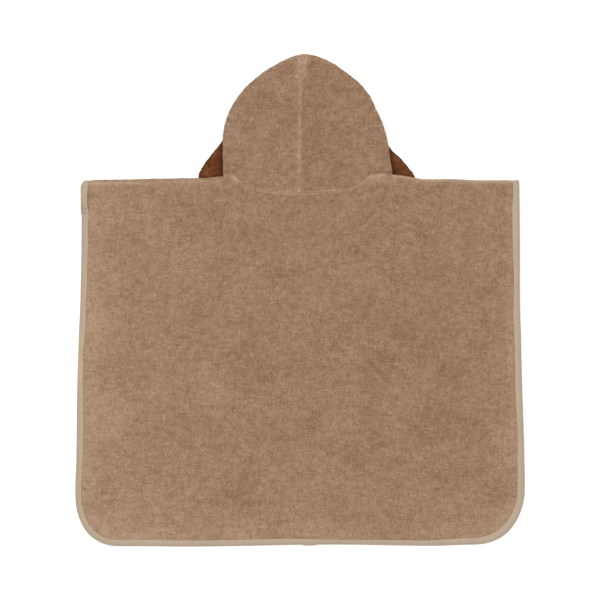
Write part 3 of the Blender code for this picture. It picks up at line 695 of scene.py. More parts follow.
def body_panel(name, layer, creases, tone_of, material):
    """The back (layer 1) or the front (layer -1) of the body, its outer skin away from the other layer."""
    columns, rows = body_lattice()
    skins = {1: [], -1: []}
    for below, angle in rows:
        for outward in skins:
            skins[outward].append(np.stack(body_row(layer, columns, below, angle, outward), axis=-1))
    outer, inner = np.array(skins[1]), np.array(skins[-1])
    x, y, inset, from_fold = outer[..., 0], outer[..., 1], outer[..., 3], outer[..., 4]
    outward = outer[..., :3] - inner[..., :3]
    outward /= np.linalg.norm(outward, axis=-1)[..., None]
    free = ease((inset - TAPE_WIDTH) / 3)
    lumps = mottled(x, y, ((0.2, 31, 11), (0.2, 12, 12), (0.22, 5.2, 13)))
    relief = lumps + 0.2 * unevenness(x, y + outer[..., 2], 3.3, 14) + creased(x, y, creases)
    if layer < 0:
        relief = -np.clip(0.5 * relief + 0.2, 0, None) * ease(from_fold / 6)
    else:
        below_neck = neckline(1, x) - y
        at_seam = np.where(inside_neck(x) > 0, 1 - ease(below_neck / 2.4), 0)
        relief = mix(relief, NECK_SEAM_RISE, at_seam)
        relief += mix(0.25, 0.7, toward_neck_corner(x)) * bell(below_neck - 3.4, 3.2) * (inside_neck(x) > 0)
    outer[..., :3] += (free * relief)[..., None] * outward
    tones = (tone_of(x, y, inset, from_fold), np.zeros_like(x))
    across = np.array([columns for row in rows])
    down = np.array([np.full(len(columns), below + angle / 90 * FOLD_AXIS) for below, angle in rows])
    pattern = np.stack((across, down * layer + CUT_APART * (layer < 0)), axis=-1)
    in_neck = inside_neck(columns) > FOLD_AXIS - SAME_PLACE
    in_neck = in_neck[:-1] & in_neck[1:]
    left_out = np.array([in_neck & (row < ROLL_STEPS) for row in range(len(rows) - 1)])
    piece = sew_sheet(name, outer[..., :3], inner[..., :3], pattern, tones, material, left_out)
    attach(piece, "root")
    return piece


FRONT_CREASES = (
    Crease(-210, -60, 40, -95, 26, 0.5),
    Crease(60, -180, 250, -150, 30, -0.5),
    Crease(-120, -300, 10, -240, 24, 0.4),
)


def front_tone(x, y, inset, from_fold):
    """The pile is parted beside the tape, and a little uneven all over."""
    return 0.2 * bell(inset - TAPE_WIDTH - 0.5, 5.0) + 0.06 * unevenness(x, y, 60, 21)


body_terry = terry("beige body terry", BODY_BEIGES)
front = body_panel("front_panel_terry", -1, FRONT_CREASES, front_tone, body_terry)
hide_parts("front_panel")

# ------------------------------------------------------------------ back panel
# The back of the body, on top as the garment lies. Cut from the same beige terry; its shallow neckline
# takes the back of the hood, and its shoulder edge rolls over as a soft band, lighter where its pile opens
# and by a painted highlight.
BACK_CREASES = (
    Crease(286, -128, 322, -131, 3.5, -0.5),
    Crease(284, -139, 318, -141, 3.5, -0.45),
    Crease(-285, 70, -225, -10, 22, 0.5),
    Crease(-120, 30, 90, 15, 30, -0.35),
    Crease(60, -250, 220, -200, 28, 0.35),
    Crease(-250, -210, -110, -250, 24, -0.35),
)

# Broad patches where the pile is brushed up and lies lighter, or is pressed down and lies darker
Brushed = namedtuple("Brushed", "x y reach light")
BRUSHED = (
    Brushed(-276, -184, 46, 0.36),
    Brushed(306, -231, 30, 0.28),
    Brushed(97, -19, 40, -0.3),
    Brushed(-263, -318, 34, 0.28),
    Brushed(-314, 87, 30, -0.26),
    Brushed(144, -351, 34, -0.26),
    Brushed(-132, -142, 46, 0.28),
    Brushed(226, -112, 34, -0.26),
    Brushed(-14, -177, 34, 0.26),
    Brushed(265, -186, 30, -0.24),
    Brushed(109, -297, 34, 0.24),
    Brushed(115, -100, 44, -0.24),
)

# The painted highlight on the neck seam's ridge, where the pile also lies spread: how far it runs below the
# neckline, how light and how wide it is
SeamLight = namedtuple("SeamLight", "x below light width")
SEAM_LIGHTS = (
    SeamLight(-108, 4.8, 0.1, 4.5),
    SeamLight(-99, 4.8, 0.72, 5.0),
    SeamLight(-90, 3.4, 0.5, 4.0),
    SeamLight(-80, 2.6, 0.3, 3.8),
    SeamLight(-68, 1.7, 0.35, 4.8),
    SeamLight(-56, 1.2, 0.4, 5.2),
    SeamLight(-42, 0.6, 0.5, 4.8),
    SeamLight(-25, 0.3, 0.62, 4.2),
    SeamLight(-8, 0.2, 0.5, 4.0),
    SeamLight(12, 0.0, 0.48, 4.2),
    SeamLight(28, -0.4, 0.42, 4.0),
    SeamLight(46, -0.9, 0.55, 4.4),
    SeamLight(62, -0.4, 0.45, 4.2),
    SeamLight(76, 0.9, 0.3, 4.0),
    SeamLight(90, 0.6, 0.4, 4.2),
    SeamLight(102, 1.2, 0.65, 4.4),
    SeamLight(124, 1.4, 0.65, 4.0),
    SeamLight(134, 1.4, 0.1, 4.0),
)
seam_light_line = line_through(SEAM_LIGHTS)


def neck_seam_light(x, above_neck):
    """How much lighter the cloth is by the painted highlight on the neck seam, whose line wanders, and
    comes and goes.
    """
    below, light, width = np.moveaxis(seam_light_line(x), -1, 0)
    light = light * (1 + 0.4 * unevenness(x, 0, 6, 24))
    return light * bell(above_neck + below + 0.5 * unevenness(x, 0, 8, 27), width)


def back_tone(x, y, inset, from_fold):
    """Painted highlights where the cloth rolls over the shoulder and over the seam, painted shade beside
    the tape, and the cloth's own unevenness.
    """
    outside = inside_neck(x) < 0
    beyond = inset - TAPE_WIDTH
    # the pile beside the tape is lighter, least so near the hem, with a thin painted shadow line along the
    # tape
    up_from_hem = y - HEM_Y - 60
    edge_light = 0.28 + 0.03 * ease(-x / 100) - 0.1 * bell(x + 90, 130) * (1 - ease(up_from_hem / 40))
    near_width = mix(20, 11, ease((x + 100) / 200) * ease(up_from_hem / 60))
    near = 1 - 0.65 * ease((beyond - 0.4 * near_width) / near_width)
    tone = edge_light * (near - 0.35 * ease((beyond - 16) / 50))
    tone -= 0.08 * bell(beyond - 1.5, 2.2) * (1 - 0.5 * ease((y + 100) / 100))
    # shade round the doubled end of the tape
    tone -= 0.4 * bell(beyond, 2.6) * (x < LEFT_TAPE) * under_lap(y, LAP_END, LAP_TOP - 3)
    tone -= 0.3 * bell(beyond - 5, 9) * (x < -250) * bell(y - 157, 17)
    # the shoulder's lighter band, a painted highlight on the roll where its pile also opens, its thin
    # painted dark rim where the roll turns away, and the soft painted shade below it
    left_end, right_end = ease((-x - 215) / 60), ease(x / 120)
    down = np.clip(from_fold, 0, None)
    band = mix(0.85, 0.8, right_end) * np.exp(-down / mix(5.3, 4.6, right_end))
    tone += (band - mix(0.78, 0.1, right_end) * np.exp(-down / 1.3)) * outside
    tone += 0.4 * left_end * bell(from_fold - 4.0, 3.8) * outside
    to_ends = np.clip((np.abs(x) - 130) / 190, 0, 1)
    tone -= 0.17 * bell(from_fold - mix(10, 12, left_end), 5) * outside * to_ends
    # the neck seam's painted highlight, and the painted shade and painted highlight below it
    below_neck = neckline(1, x) - y
    tone += neck_seam_light(x, -below_neck) * ~outside
    tone -= 0.2 * bell(below_neck - 5.6, 2.4) * ~outside * bell(x + 50, 22)
    tone += 0.35 * bell(below_neck - 7.0, 3.8) * ~outside * (bell(x - 120, 20) + 0.3 * bell(x + 100, 16))
    # the cloth's own broad unevenness, and a painted wash of light towards the left and the hem
    tone += mottled(x, y, ((0.05, 70, 22), (0.05, 30, 23)))
    for patch in BRUSHED:
        tone += patch.light * bell(np.hypot(x - patch.x, y - patch.y), patch.reach)
    return tone + 0.12 * ease((-x - 120) / 120) + 0.05 * ease((-y - 200) / 100)


back = body_panel("back_panel_terry", 1, BACK_CREASES, back_tone, body_terry)
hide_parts("back_panel")

# ------------------------------------------------------------------ hood
# Two halves of beige terry, sewn along the centre of the back and into the neckline. Each half folds
# round a side of the head, and its front edge is turned and stitched to frame the face opening.
FACE_HALF_WIDTH = 62.0
FACE_TOP_BELOW_PEAK = 48.0
SEAM_TURN_BELOW_PEAK = 105.0
HOOD_PITCH = 2.9
HOOD_EDGE, HOOD_ACROSS = 270.0, 118.0   # rough length of a half's folded edge, and width to the seam
NECK_ROWS = (0, 0.8, 1.7, 2.7, 4.0, 5.6, 8)     # places up the half beside the neck seam
SEAM_ROWS = (5.8, 4.2, 2.8, 1.6, 0.5, 0)        # places across it beside the centre seam
FACE_TURN = 0.93                # the front edge is turned under past this share of the way across

Hood = namedtuple("Hood", "height left right")
HOOD = (
    Hood(36, -115.6, 134.9),
    Hood(58.5, -115.9, 131.0),
    Hood(81, -113.4, 124.8),
    Hood(103.5, -105.5, 114.6),
    Hood(126, -91.2, 103.8),
    Hood(148.5, -70.4, 84.6),
    Hood(163.5, -50.4, 64.9),
    Hood(175, -31.4, 48.2),
    Hood(184.5, -10.4, 25.8),
)
Centre = namedtuple("Centre", "height across")
CENTRE_SEAM = (
    Centre(-60, -2.4),
    Centre(-21, -2.4),
    Centre(9, -2.6),
    Centre(59, -2.2),
    Centre(108, -1.6),
    Centre(145, -0.4),
    Centre(165, 1.4),
    Centre(188.5, 4.4),
)
centre_seam = SmoothLine([row.height + FOLD_Y for row in CENTRE_SEAM], [row.across for row in CENTRE_SEAM])


def hood_outline(side):
    """The folded edge of one half, from the corner of the neck to the peak."""
    places = [NECK_CORNER[side]]
    places += [(row.left if side < 0 else row.right, FOLD_Y + row.height) for row in HOOD]
    places.append(PEAK)
    steps = [math.dist(places[i], places[i + 1]) for i in range(len(places) - 1)]
    return SmoothLine(np.concatenate(([0], np.cumsum(steps))) / sum(steps), places)


def hood_ray(side, outline, along, drop):
    """Points that lie drop in from the folded edge, mitred at the neck and at the peak."""
    way = outline(np.minimum(along + 0.01, 1)) - outline(np.maximum(along - 0.01, 0))
    inward = np.stack((way[:, 1], -way[:, 0]), axis=-1) * -side / np.linalg.norm(way, axis=-1)[:, None]
    inward[0] = (-side, -1)
    inward[-1] = (0, 1 / inward[-1, 1])
    return outline(along) + inward * drop


def face_edge(side, share):
    """Edge of the face opening, from the middle of the front neckline up to its round top."""
    top = PEAK[1] - FACE_TOP_BELOW_PEAK
    low = neckline(-1, SEAM_X)
    y = mix(low, top, np.sin(share * math.pi / 2))
    x = mix(SEAM_X, centre_seam(top), share) + side * FACE_HALF_WIDTH * np.sin(share * math.pi)
    return np.stack((x, y), axis=-1)


def hood_plan(side, outline, layer, along, across):
    """Plan places in one layer of a half, across running from the folded edge (0) to the inner one (1)."""
    seam_end = PEAK[1] - (SEAM_TURN_BELOW_PEAK if layer > 0 else FACE_TOP_BELOW_PEAK)
    folded = hood_ray(side, outline, along, FOLD_AXIS)
    neck_x = mix(NECK_CORNER[side][0] - side * FOLD_AXIS, SEAM_X, across)
    neck = np.array((neck_x, neckline(layer, neck_x)))
    low_y = float(neckline(layer, SEAM_X))
    if layer > 0:
        seam_y = mix(low_y, seam_end, along)
        inner = np.stack((centre_seam(seam_y), seam_y), axis=-1)
    else:
        inner = face_edge(side, along)
    upper_y = mix(folded[-1, 1], seam_end, across)
    upper = np.array((float(centre_seam(upper_y)), upper_y))
    share = along[:, None]
    sides = mix(folded, inner, across) + mix(neck[None], upper[None], share)
    low_end, high_end = mix(folded[0], inner[0], across), mix(folded[-1], inner[-1], across)
    return sides - mix(low_end[None], high_end[None], share)


def hood_row(side, outline, along, angle, across, outward):
    """One row of a hood half: round its folded edge by angle, then across one of its two layers."""
    turn = math.radians(angle)
    layer = -1 if angle < 0 else 1
    if across == 0:
        radial = OPEN_RADIUS + outward * TERRY / 2
        plan = hood_ray(side, outline, along, FOLD_AXIS - radial * math.cos(turn))
        z = np.full(len(along), FOLD_AXIS + radial * math.sin(turn))
    else:
        plan = hood_plan(side, outline, layer, along, across)
        away = np.linalg.norm(plan - outline(along), axis=-1)
        rest, radius, thick = build_up(HALF_WIDTH, away)
        z = rest + radius + layer * (radius + outward * thick / 2)
    x, y = plan[:, 0], plan[:, 1]
    return np.stack((x, y, settle(x, y, z, 0.5 + 0.5 * math.sin(turn))), axis=-1)


HOOD_CREASES = (
    Crease(-95, 250, -60, 320, 16, 0.35),
    Crease(70, 225, 105, 290, 18, -0.35),
    Crease(-70, 200, -15, 215, 14, 0.3),
    Crease(30, 300, 75, 330, 14, 0.3),
)


def hood_lattice():
    """Shares up the folded edge of a half, and rows with their angle round it and share across a layer."""
    up_neck = np.array(NECK_ROWS) / HOOD_EDGE
    along = np.concatenate((up_neck[:-1], run(up_neck[-1], 1, HOOD_PITCH / HOOD_EDGE), [1.0]))
    shares = run(0, 1 - SEAM_ROWS[0] / HOOD_ACROSS, HOOD_PITCH / HOOD_ACROSS)[1:]
    shares = np.concatenate((shares, 1 - np.array(SEAM_ROWS) / HOOD_ACROSS))
    rows = [(-90, share) for share in shares[::-1]]
    rows += [(90 * i / ROLL_STEPS, 0) for i in range(-ROLL_STEPS, ROLL_STEPS + 1)]
    rows += [(90, share) for share in shares]
    return along, rows


def hood_pattern(side, outline, along, rows):
    """Where each point lay on the cloth before the half was folded round the side of the head."""
    pattern = np.empty((len(rows), len(along), 2))
    under_edge = hood_ray(side, outline, along, FOLD_AXIS - OPEN_RADIUS * math.pi / 2)
    for i, (angle, share) in enumerate(rows):
        if share == 0:
            pattern[i] = hood_ray(side, outline, along, FOLD_AXIS - OPEN_RADIUS * math.radians(90 - angle))
        else:
            plan = hood_plan(side, outline, 1 if angle > 0 else -1, along, share)
            pattern[i] = plan if angle > 0 else 2 * under_edge - plan
    return pattern


def hood_half(name, side, material):
    """The left (-1) or right (1) half of the hood, its outer skin away from the head."""
    outline = hood_outline(side)
    along, rows = hood_lattice()
    outer = np.array([hood_row(side, outline, along, angle, share, 1) for angle, share in rows])
    inner = np.array([hood_row(side, outline, along, angle, share, -1) for angle, share in rows])
    x, y = outer[..., 0], outer[..., 1]
    top = np.array([angle > 0 for angle, share in rows])[:, None]
    height = np.clip((y - FOLD_Y) / HOOD_HEIGHT, 0, 1)
    # the centre seam's ridge, which spreads flat over its allowance near the peak
    past_seam = x - centre_seam(y)
    near_peak = ease((height - 0.785) / 0.035)
    low_ridge = bell(past_seam - 1.6, mix(4.4, 3.9, ease((height - 0.5) / 0.2)))
    spread = bell(past_seam + 3.2, 5.4) + 1.1 * bell(past_seam - 5.0, 4.8)
    seam_ridge = top * mix(low_ridge, spread * (1 - 0.6 * ease((height - 0.93) / 0.03)), near_peak)
    # lumps, creases, and the cloth's rise and dip beside the neck seam
    above_neck = y - neckline(1, x)
    lumps = mottled(x, y, ((0.2, 24, 31), (0.2, 10, 32), (0.22, 5, 33)))
    nap = 0.5 * unevenness(x, y + outer[..., 2], 3.1, 35)
    relief = lumps + creased(x, y, HOOD_CREASES) + mix(0.25, 0.45, near_peak) * seam_ridge
    relief = relief - mix(-0.1, 0.3, toward_neck_corner(x)) * bell(above_neck - 2.5, 4)
    relief = np.where(top, mix(relief, NECK_SEAM_RISE, 1 - ease(above_neck / 2.4)), relief)
    relief = np.where(top, relief, -np.clip(0.4 * lumps + 0.1, 0, None)) + nap * ease(outer[..., 2] / 3)
    outward = outer - inner
    outward /= np.linalg.norm(outward, axis=-1)[..., None]
    outer += relief[..., None] * outward
    # a painted highlight along the centre seam's ridge, with painted shade in grooves beside it, and
    # lighter across the peak
    tone = mottled(x, y, ((0.05, 50, 34), (0.06, 22, 36)))
    seam_tone = 0.52 * (0.9 + 0.35 * unevenness(y, 0, 7, 37)) * mix(0.5, 1, ease((above_neck - 2) / 8))
    tone += seam_ridge * mix(seam_tone, 0.58, near_peak)
    tone -= top * near_peak * (0.22 * bell(past_seam - 17, 9) + 0.1 * bell(past_seam + 12, 6))
    tone -= top * 0.12 * bell(past_seam - 6.6, 2.2) * ease((height - 0.58) / 0.06) * (1 - near_peak)
    above_fold = y - FOLD_Y
    peak_light = 0.3 * bell(above_fold - 175.5, 1.9) + 0.16 * ease((height - 0.945) / 0.02)
    tone += top * bell(x - 7, 15) * peak_light
    tone -= top * 0.16 * bell(past_seam - 13, 11) * (1 - ease((height - 0.25) / 0.15))
    # lighter on the folded edge beside the peak
    from_edge = np.array([share for angle, share in rows])[:, None]
    tone += top * 0.35 * bell(from_edge, 0.14) * ease((height - 0.9) / 0.06)
    # the neck seam: a painted shade above it towards its ends, and its painted highlight
    outside = ease((np.abs(x - 22) - 60) / 25)
    shadow = 0.1 + 0.25 * unevenness(x, 0, 8, 38) * outside
    shadow = shadow + 0.45 * bell(x - 120, 20) + 0.2 * bell(x + 68, 26)
    tone -= top * shadow * bell(above_neck - (3.6 if side < 0 else 1.8), 2.8) * outside
    tone += top * (neck_seam_light(x, above_neck) - 0.06 * (side > 0))
    # a painted highlight on the collar's ends with a painted shadow line above them, and painted shade
    # between the hood and the collar on the left
    collar_end = 1 - ease((x + 101) / 8) + ease((x - 124) / 8)
    tone += top * collar_end * (0.3 * bell(above_fold - 5.5, 2.6) - 0.45 * bell(above_fold - 9.8, 2.3))
    tone -= top * 0.22 * bell(x + 96, 22) * bell(above_fold - 18, 14)
    turned = np.array([share > FACE_TURN and angle < 0 for angle, share in rows])[:, None]
    tone = tone - 0.25 * turned
    pattern = hood_pattern(side, outline, along, rows)
    piece = sew_sheet(name, outer, inner, pattern, (tone, tone * 0), material)
    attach(piece, "root")
    return piece


HOOD_BEIGES = ((0.103, 0.0500, 0.0223), (0.2385, 0.1400, 0.0830), (0.372, 0.2560, 0.1730))
hood_terry = terry("beige hood terry", HOOD_BEIGES)
for name, side, ear_name in (("hood_left", -1, "ear_left"), ("hood_right", 1, "ear_right")):
    half = hood_half(name + "_terry", side, hood_terry)
    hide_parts(name)

# ------------------------------------------------------------------ edge binding
# One loop of paler cotton tape, folded over the raw edge of both panels and stitched down. It runs
# round both sides and both hems and over both shoulders.
TAPE_PALES = ((0.262, 0.210, 0.160), (0.392, 0.308, 0.232), (0.470, 0.348, 0.238))
TAPE_PITCH = 4.0                # stations lie this far apart
TAPE_TOP, TAPE_EASED = 10, 32   # the first one below the shoulder; down to the second they lie wider
TAPE_HALF = TAPE_STACK / 2
OUTER_ROUND = 1.7               # how far in from the tape's edge its fold is round
FOLD_STAYS = 3.4                # the tape's fold keeps its shape up to here, wherever its inner edge runs


def tape_section():
    """Inset and outward places round the folded tape, from its inner edge over the fold and back."""
    top = [(TAPE_WIDTH, TAPE_HALF - 1.1), (TAPE_WIDTH - 0.3, TAPE_HALF - 0.85), (8.7, TAPE_HALF - 0.75)]
    top += [(7.4, TAPE_HALF - 0.42), (5.4, TAPE_HALF - 0.12), (3.4, TAPE_HALF)]
    turn = [math.radians(90 - 22.5 * i) for i in range(9)]
    fold = [(OUTER_ROUND * (1 - math.cos(a)), TAPE_HALF * math.sin(a)) for a in turn]
    under = [(inset, -out) for inset, out in top[::-1]]
    inside = PRESSED / 2 + 0.03
    back = [(TAPE_WIDTH, -inside), (5, -inside), (TAPE_WALL, -inside)]
    back += [(TAPE_WALL, inside), (5, inside), (TAPE_WIDTH, inside)]
    return np.array(top + fold + under + back)


TAPE_SECTION = tape_section()

# How much narrower than its full width the tape shows, down the two sides and along the hem
SideTape = namedtuple("SideTape", "below left right")
SIDE_TAPE = (
    SideTape(25, -0.4, 0.5),
    SideTape(43, -0.6, -0.8),
    SideTape(61, -0.2, -1.1),
    SideTape(97, 0.3, -0.5),
    SideTape(115, 0.5, -0.5),
    SideTape(133, 0.3, 0.5),
    SideTape(169, 0.4, 0.8),
    SideTape(187, 1.1, 0.2),
    SideTape(205, 0.8, -0.4),
    SideTape(241, 1.3, 0.2),
    SideTape(259, 2.7, 0.5),
    SideTape(277, 2.0, 0.1),
    SideTape(313, 1.6, -0.6),
    SideTape(331, 0.6, -0.4),
    SideTape(385, 0.2, 0.6),
    SideTape(421, 0.2, -0.7),
    SideTape(457, 0.9, -0.8),
    SideTape(475, 0.8, -1.1),
)
HemTape = namedtuple("HemTape", "across narrower")
HEM_TAPE = (
    HemTape(-330, 0.8),
    HemTape(-275, 0.8),
    HemTape(-230, -0.1),
    HemTape(-207, -0.1),
    HemTape(-185, 0.5),
    HemTape(-140, 0.8),
    HemTape(-72, 0.9),
    HemTape(-50, 0.5),
    HemTape(-5, 1.1),
    HemTape(18, 1.4),
    HemTape(40, 2.3),
    HemTape(108, 2.6),
    HemTape(153, 2.0),
    HemTape(198, 1.5),
    HemTape(220, 0.6),
    HemTape(265, -0.5),
    HemTape(288, -1.1),
    HemTape(330, -1.1),
)
side_tape = line_through(SIDE_TAPE)
hem_tape = line_through(HEM_TAPE)


def tape_stations():
    """Stations round the loop, each a function that lays out an inset, with its turn round the shoulder."""

    def side_station(side, below):
        def at(inset):
            square = round_corner(inset, BODY_LENGTH - below + 0 * inset, CORNER[side])
            return pattern_to_plan(side, *square)

        return at

    def corner_station(side, share):
        radius, angle = CORNER[side], share * math.pi / 2

        def at(inset):
            in_from_side = radius - (radius - inset) * math.cos(angle)
            rise = radius - (radius - inset) * math.sin(angle)
            return pattern_to_plan(side, in_from_side, rise)

        return at

    def hem_station(across):
        side = -1 if across < 0 else 1
        return lambda inset: pattern_to_plan(side, HALF_WIDTH - abs(across) + 0 * inset, inset)

    def down(side):
        stop = BODY_LENGTH - CORNER[side]
        places = np.concatenate((run(TAPE_TOP, TAPE_EASED, 5), run(TAPE_EASED, stop, TAPE_PITCH)))
        return [(side_station(side, below), side, below) for below in places]

    def round_hem_corner(side):
        count = round(CORNER[side] * math.pi / 2 / TAPE_PITCH)
        return [(corner_station(side, i / count), side, BODY_LENGTH) for i in range(count + 1)]

    def along_hem():
        places = run(CORNER[-1] - HALF_WIDTH, HALF_WIDTH - CORNER[1], TAPE_PITCH)[1:]
        return [(hem_station(across), 0, BODY_LENGTH) for across in places]

    stations = []
    for angle in (-90, 90):
        one_way = down(-1) + round_hem_corner(-1) + along_hem()
        one_way += round_hem_corner(1)[::-1] + down(1)[::-1]
        if angle > 0:
            one_way = one_way[::-1]
        stations += [(place, side, below, angle) for place, side, below in one_way]
        side = 1 if angle < 0 else -1
        stations += [(None, side, 0, turn) for turn in np.linspace(-90, 90, 15) * side]
    return stations


def tape_ring(place, side, below, angle, inset, outward):
    """One section of the tape, laid out in millimetres."""
    rest, radius, _ = build_up(np.zeros_like(inset), below)
    turn = math.radians(angle)
    if place is None:
        drop = rest + radius - (radius + outward) * math.cos(turn)
        y = FOLD_Y + shoulder_rise(side * (HALF_WIDTH - inset)) - drop
        x = side_edge(side, y) - side * inset
        y = y - shoulder_round(side, inset, drop)
    else:
        x, y = place(inset)
    return np.stack((x, y, rest + radius + (radius + outward) * math.sin(turn)), axis=-1)


# Where one end of the tape laps over the other; the lap on the left side is tacked down
Lap = namedtuple("Lap", "x y reach_x reach_y outward")
LAPS = (
    Lap(-322, 160, 14, 28.5, 1.3),
    Lap(14.5, -365, 10, 12, 1.2),
)

# Where the tape's doubled end and its tacks look darker: how much, and between which heights
LAP_SHADES = ((0.2, 110, 138), (0.33, 132, 153))
FOLD_END = 2.5                  # the lump of a lap moves only what lies this near the fold

rings, tape_cloth, tape_tone, walked = [], [], [], 0.0
arc = np.concatenate(([0], np.cumsum(np.linalg.norm(np.diff(TAPE_SECTION, axis=0), axis=-1))))
for place, side, below, angle in tape_stations():
    inset, outward = TAPE_SECTION[:, 0].copy(), TAPE_SECTION[:, 1].copy()
    middle = tape_ring(place, side, below, angle, inset, outward)[:2].mean(axis=0)
    on_top = angle > 0
    top_left = on_top and middle[0] < LEFT_TAPE
    # the inner edge wanders in and out, and the upper face is a little uneven
    wander = 0.22 * unevenness(walked, 0, 17, 41) + 0.12 * unevenness(walked, 40, 6, 42)
    if below == BODY_LENGTH:
        wander = wander - hem_tape(middle[0])
    else:
        wander = wander - side_tape(below)[0 if side < 0 else 1]
    if top_left:
        wander = wander - LAP_DRAW * under_lap(middle[1], LAP_END, LAP_TOP)
    inset = inset + wander * np.clip((inset - FOLD_STAYS) / (TAPE_WIDTH - FOLD_STAYS), 0, 1)
    wave = np.sign(outward) * 0.1 * unevenness(walked, 90, 9, 43)
    outward = outward + np.where(np.abs(outward) > TAPE_HALF - 0.5, wave, 0)
    # where one end laps the other the tape is thicker
    lapped = 0.0
    for lap in LAPS:
        inside = (abs(middle[0] - lap.x) < lap.reach_x) and (abs(middle[1] - lap.y) < lap.reach_y)
        lapped += lap.outward * (inside and on_top)
    inset = np.where(inset < FOLD_END, inset - lapped, inset)
    ring = tape_ring(place, side, below, angle, inset, outward)
    ring[:, 2] += 0.35 * lapped * (outward > 0)
    ring[:, 2] = np.maximum(ring[:, 2], 0.0)
    if rings:
        walked += float(np.linalg.norm(ring[4] - rings[-1][4]))
    rings.append(ring)
    tape_cloth.append(np.stack((np.full(len(arc), walked), arc, 0 * arc), axis=-1))
    # painted shade, darkest over the rounded fold and lighter towards the inner edge, darker on that edge,
    # and duller at the lap
    pressed = mix(inset, TAPE_SECTION[:, 0], 0.8)
    shade = mix(-0.15, 0.6, ease((pressed - 1.5) / 7.5)) - 0.25 * bell(pressed - 9.2, 1.6)
    shade = shade + 0.12 * unevenness(walked, 0, 23, 44)
    if side < 0:
        shade = shade + 0.5 * bell(below - 285, 50) + 0.2 * bell(below - 220, 100)
    if top_left:
        for darker, low, high in LAP_SHADES:
            shade = shade - darker * under_lap(middle[1], low, high)
    tape_tone.append(shade)

rings = np.array(rings)
number = np.arange(rings.shape[0] * rings.shape[1]).reshape(rings.shape[:2])
following = np.roll(number, -1, axis=0)
faces = np.stack((number, np.roll(number, -1, axis=1), np.roll(following, -1, axis=1), following), axis=-1)
points = rings.reshape(-1, 3)
faces = facing_out(points, faces.reshape(-1, 4))

THREADS_ALONG, THREADS_ACROSS = 1150, 1000      # in a metre of the tape's length, and of its width
TAPE_BUMP = 0.00018


def woven_tape(name, colours):
    """Fine plain-woven cotton with a slight rib, darker along its folded edge by the painted shade that its
    tone carries.
    """
    made, tree, shader = new_material(name, {"Roughness": 0.85, "Specular IOR Level": 0.2})
    cloth = sewn(tree, "cloth", "Vector")
    split = tree.nodes.new("ShaderNodeSeparateXYZ")
    tree.links.new(cloth, split.inputs[0])

    def threads(axis, per_metre):
        """A wave that rises to 1 over each thread and falls to -1 between two."""
        turns = calculate(tree, "MULTIPLY", split.outputs[axis], per_metre * 2 * math.pi)
        return calculate(tree, "SINE", turns)

    weave = calculate(tree, "MULTIPLY", threads("X", THREADS_ALONG), threads("Y", THREADS_ACROSS))
    slubs = noise(tree, cloth, 240, 4, 0.65)
    tone = calculate(tree, "MULTIPLY_ADD", slubs, 0.9, sewn(tree, "tone", "Fac"))
    woven = calculate(tree, "MULTIPLY_ADD", weave, 0.12, tone)
    shade = calculate(tree, "MULTIPLY_ADD", woven, 0.5, 0.27)
    height = calculate(tree, "MULTIPLY_ADD", slubs, 0.8, weave)
    tree.links.new(dyed(tree, shade, colours), shader.inputs["Base Color"])
    tree.links.new(raised(tree, height, TAPE_BUMP), shader.inputs["Normal"])
    return made


tape = new_piece("edge_binding_tape", points, faces.tolist(), woven_tape("pale cotton tape", TAPE_PALES))
mark_cloth(tape, np.array(tape_cloth), np.array(tape_tone))
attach(tape, "root")
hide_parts("edge_binding")

# ------------------------------------------------------------------ stitching
# Lock stitches of matching cotton thread: one row round the binding near its inner edge on the outside
# of the garment, two tacks where the tape's ends lap, and one row that holds the turned face edge.
STITCH_PITCH, STITCH_LENGTH, THREAD = 2.9, 2.35, 0.5
ROW_LIFT, TACK_LIFT, FACE_LIFT = 0.05, 0.08, 0.12       # how far the threads' middles lie off the cloth
THREAD_PALE = (0.46, 0.37, 0.28)


def thread_material(name, colour):
    """Twisted cotton thread."""
    made, tree, shader = new_material(name, {"Roughness": 0.7})
    object_place = tree.nodes.new("ShaderNodeTexCoord").outputs["Object"]
    fibres = noise(tree, object_place, 900, 2, 0.5)
    ends = [[share * c for c in colour] for share in (0.7, 1.2)]
    tree.links.new(dyed(tree, fibres, ends), shader.inputs["Base Color"])
    return made


def one_stitch():
    """A stitch lying along x, rounded on top, modelled once; its points and faces."""
    bpy.ops.object.select_all(action="DESELECT")
    bpy.ops.mesh.primitive_uv_sphere_add(segments=8, ring_count=4, radius=0.5, rotation=(0, math.pi / 2, 0))
    bpy.ops.transform.resize(value=(STITCH_LENGTH, THREAD, THREAD))
    bpy.ops.object.transform_apply(location=True, rotation=True, scale=True)
    model = bpy.context.object
    points = np.array([vert.co for vert in model.data.vertices])
    faces = sorted(list(face.vertices) for face in model.data.polygons)
    bpy.data.objects.remove(model)
    blunt = np.abs(points[:, 0] * 2 / STITCH_LENGTH) ** 0.8
    points[:, 0] = np.sign(points[:, 0]) * STITCH_LENGTH / 2 * blunt
    return points, faces


def stitch_row(name, path, ups, thread):
    """Copies of the stitch along a path in millimetres; ups point out of the cloth."""
    steps = np.linalg.norm(np.diff(path, axis=0), axis=1)
    keys = np.concatenate(([0], np.cumsum(steps)))
    places = np.arange(STITCH_PITCH / 2, keys[-1], STITCH_PITCH)
    points, faces = one_stitch()

    def at(values, where):
        return np.stack([np.interp(where, keys, values[:, i]) for i in range(3)], axis=-1)

    centre, up = at(path, places), at(ups, places)
    ahead = at(path, places + 1) - at(path, places - 1)
    ahead /= np.linalg.norm(ahead, axis=1)[:, None] + 1e-9
    side = np.cross(up, ahead)
    side /= np.linalg.norm(side, axis=1)[:, None] + 1e-9
    up = np.cross(ahead, side)
    verts = centre[:, None]
    for axis, way in enumerate((ahead, side, up)):
        verts = verts + points[None, :, axis:axis + 1] * way[:, None]
    verts[..., 2] = np.maximum(verts[..., 2], 0.0)
    all_faces = [[i * len(points) + v for v in face] for i in range(len(places)) for face in faces]
    row = new_piece(name, verts.reshape(-1, 3), all_faces, thread)
    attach(row, "root")
    return row


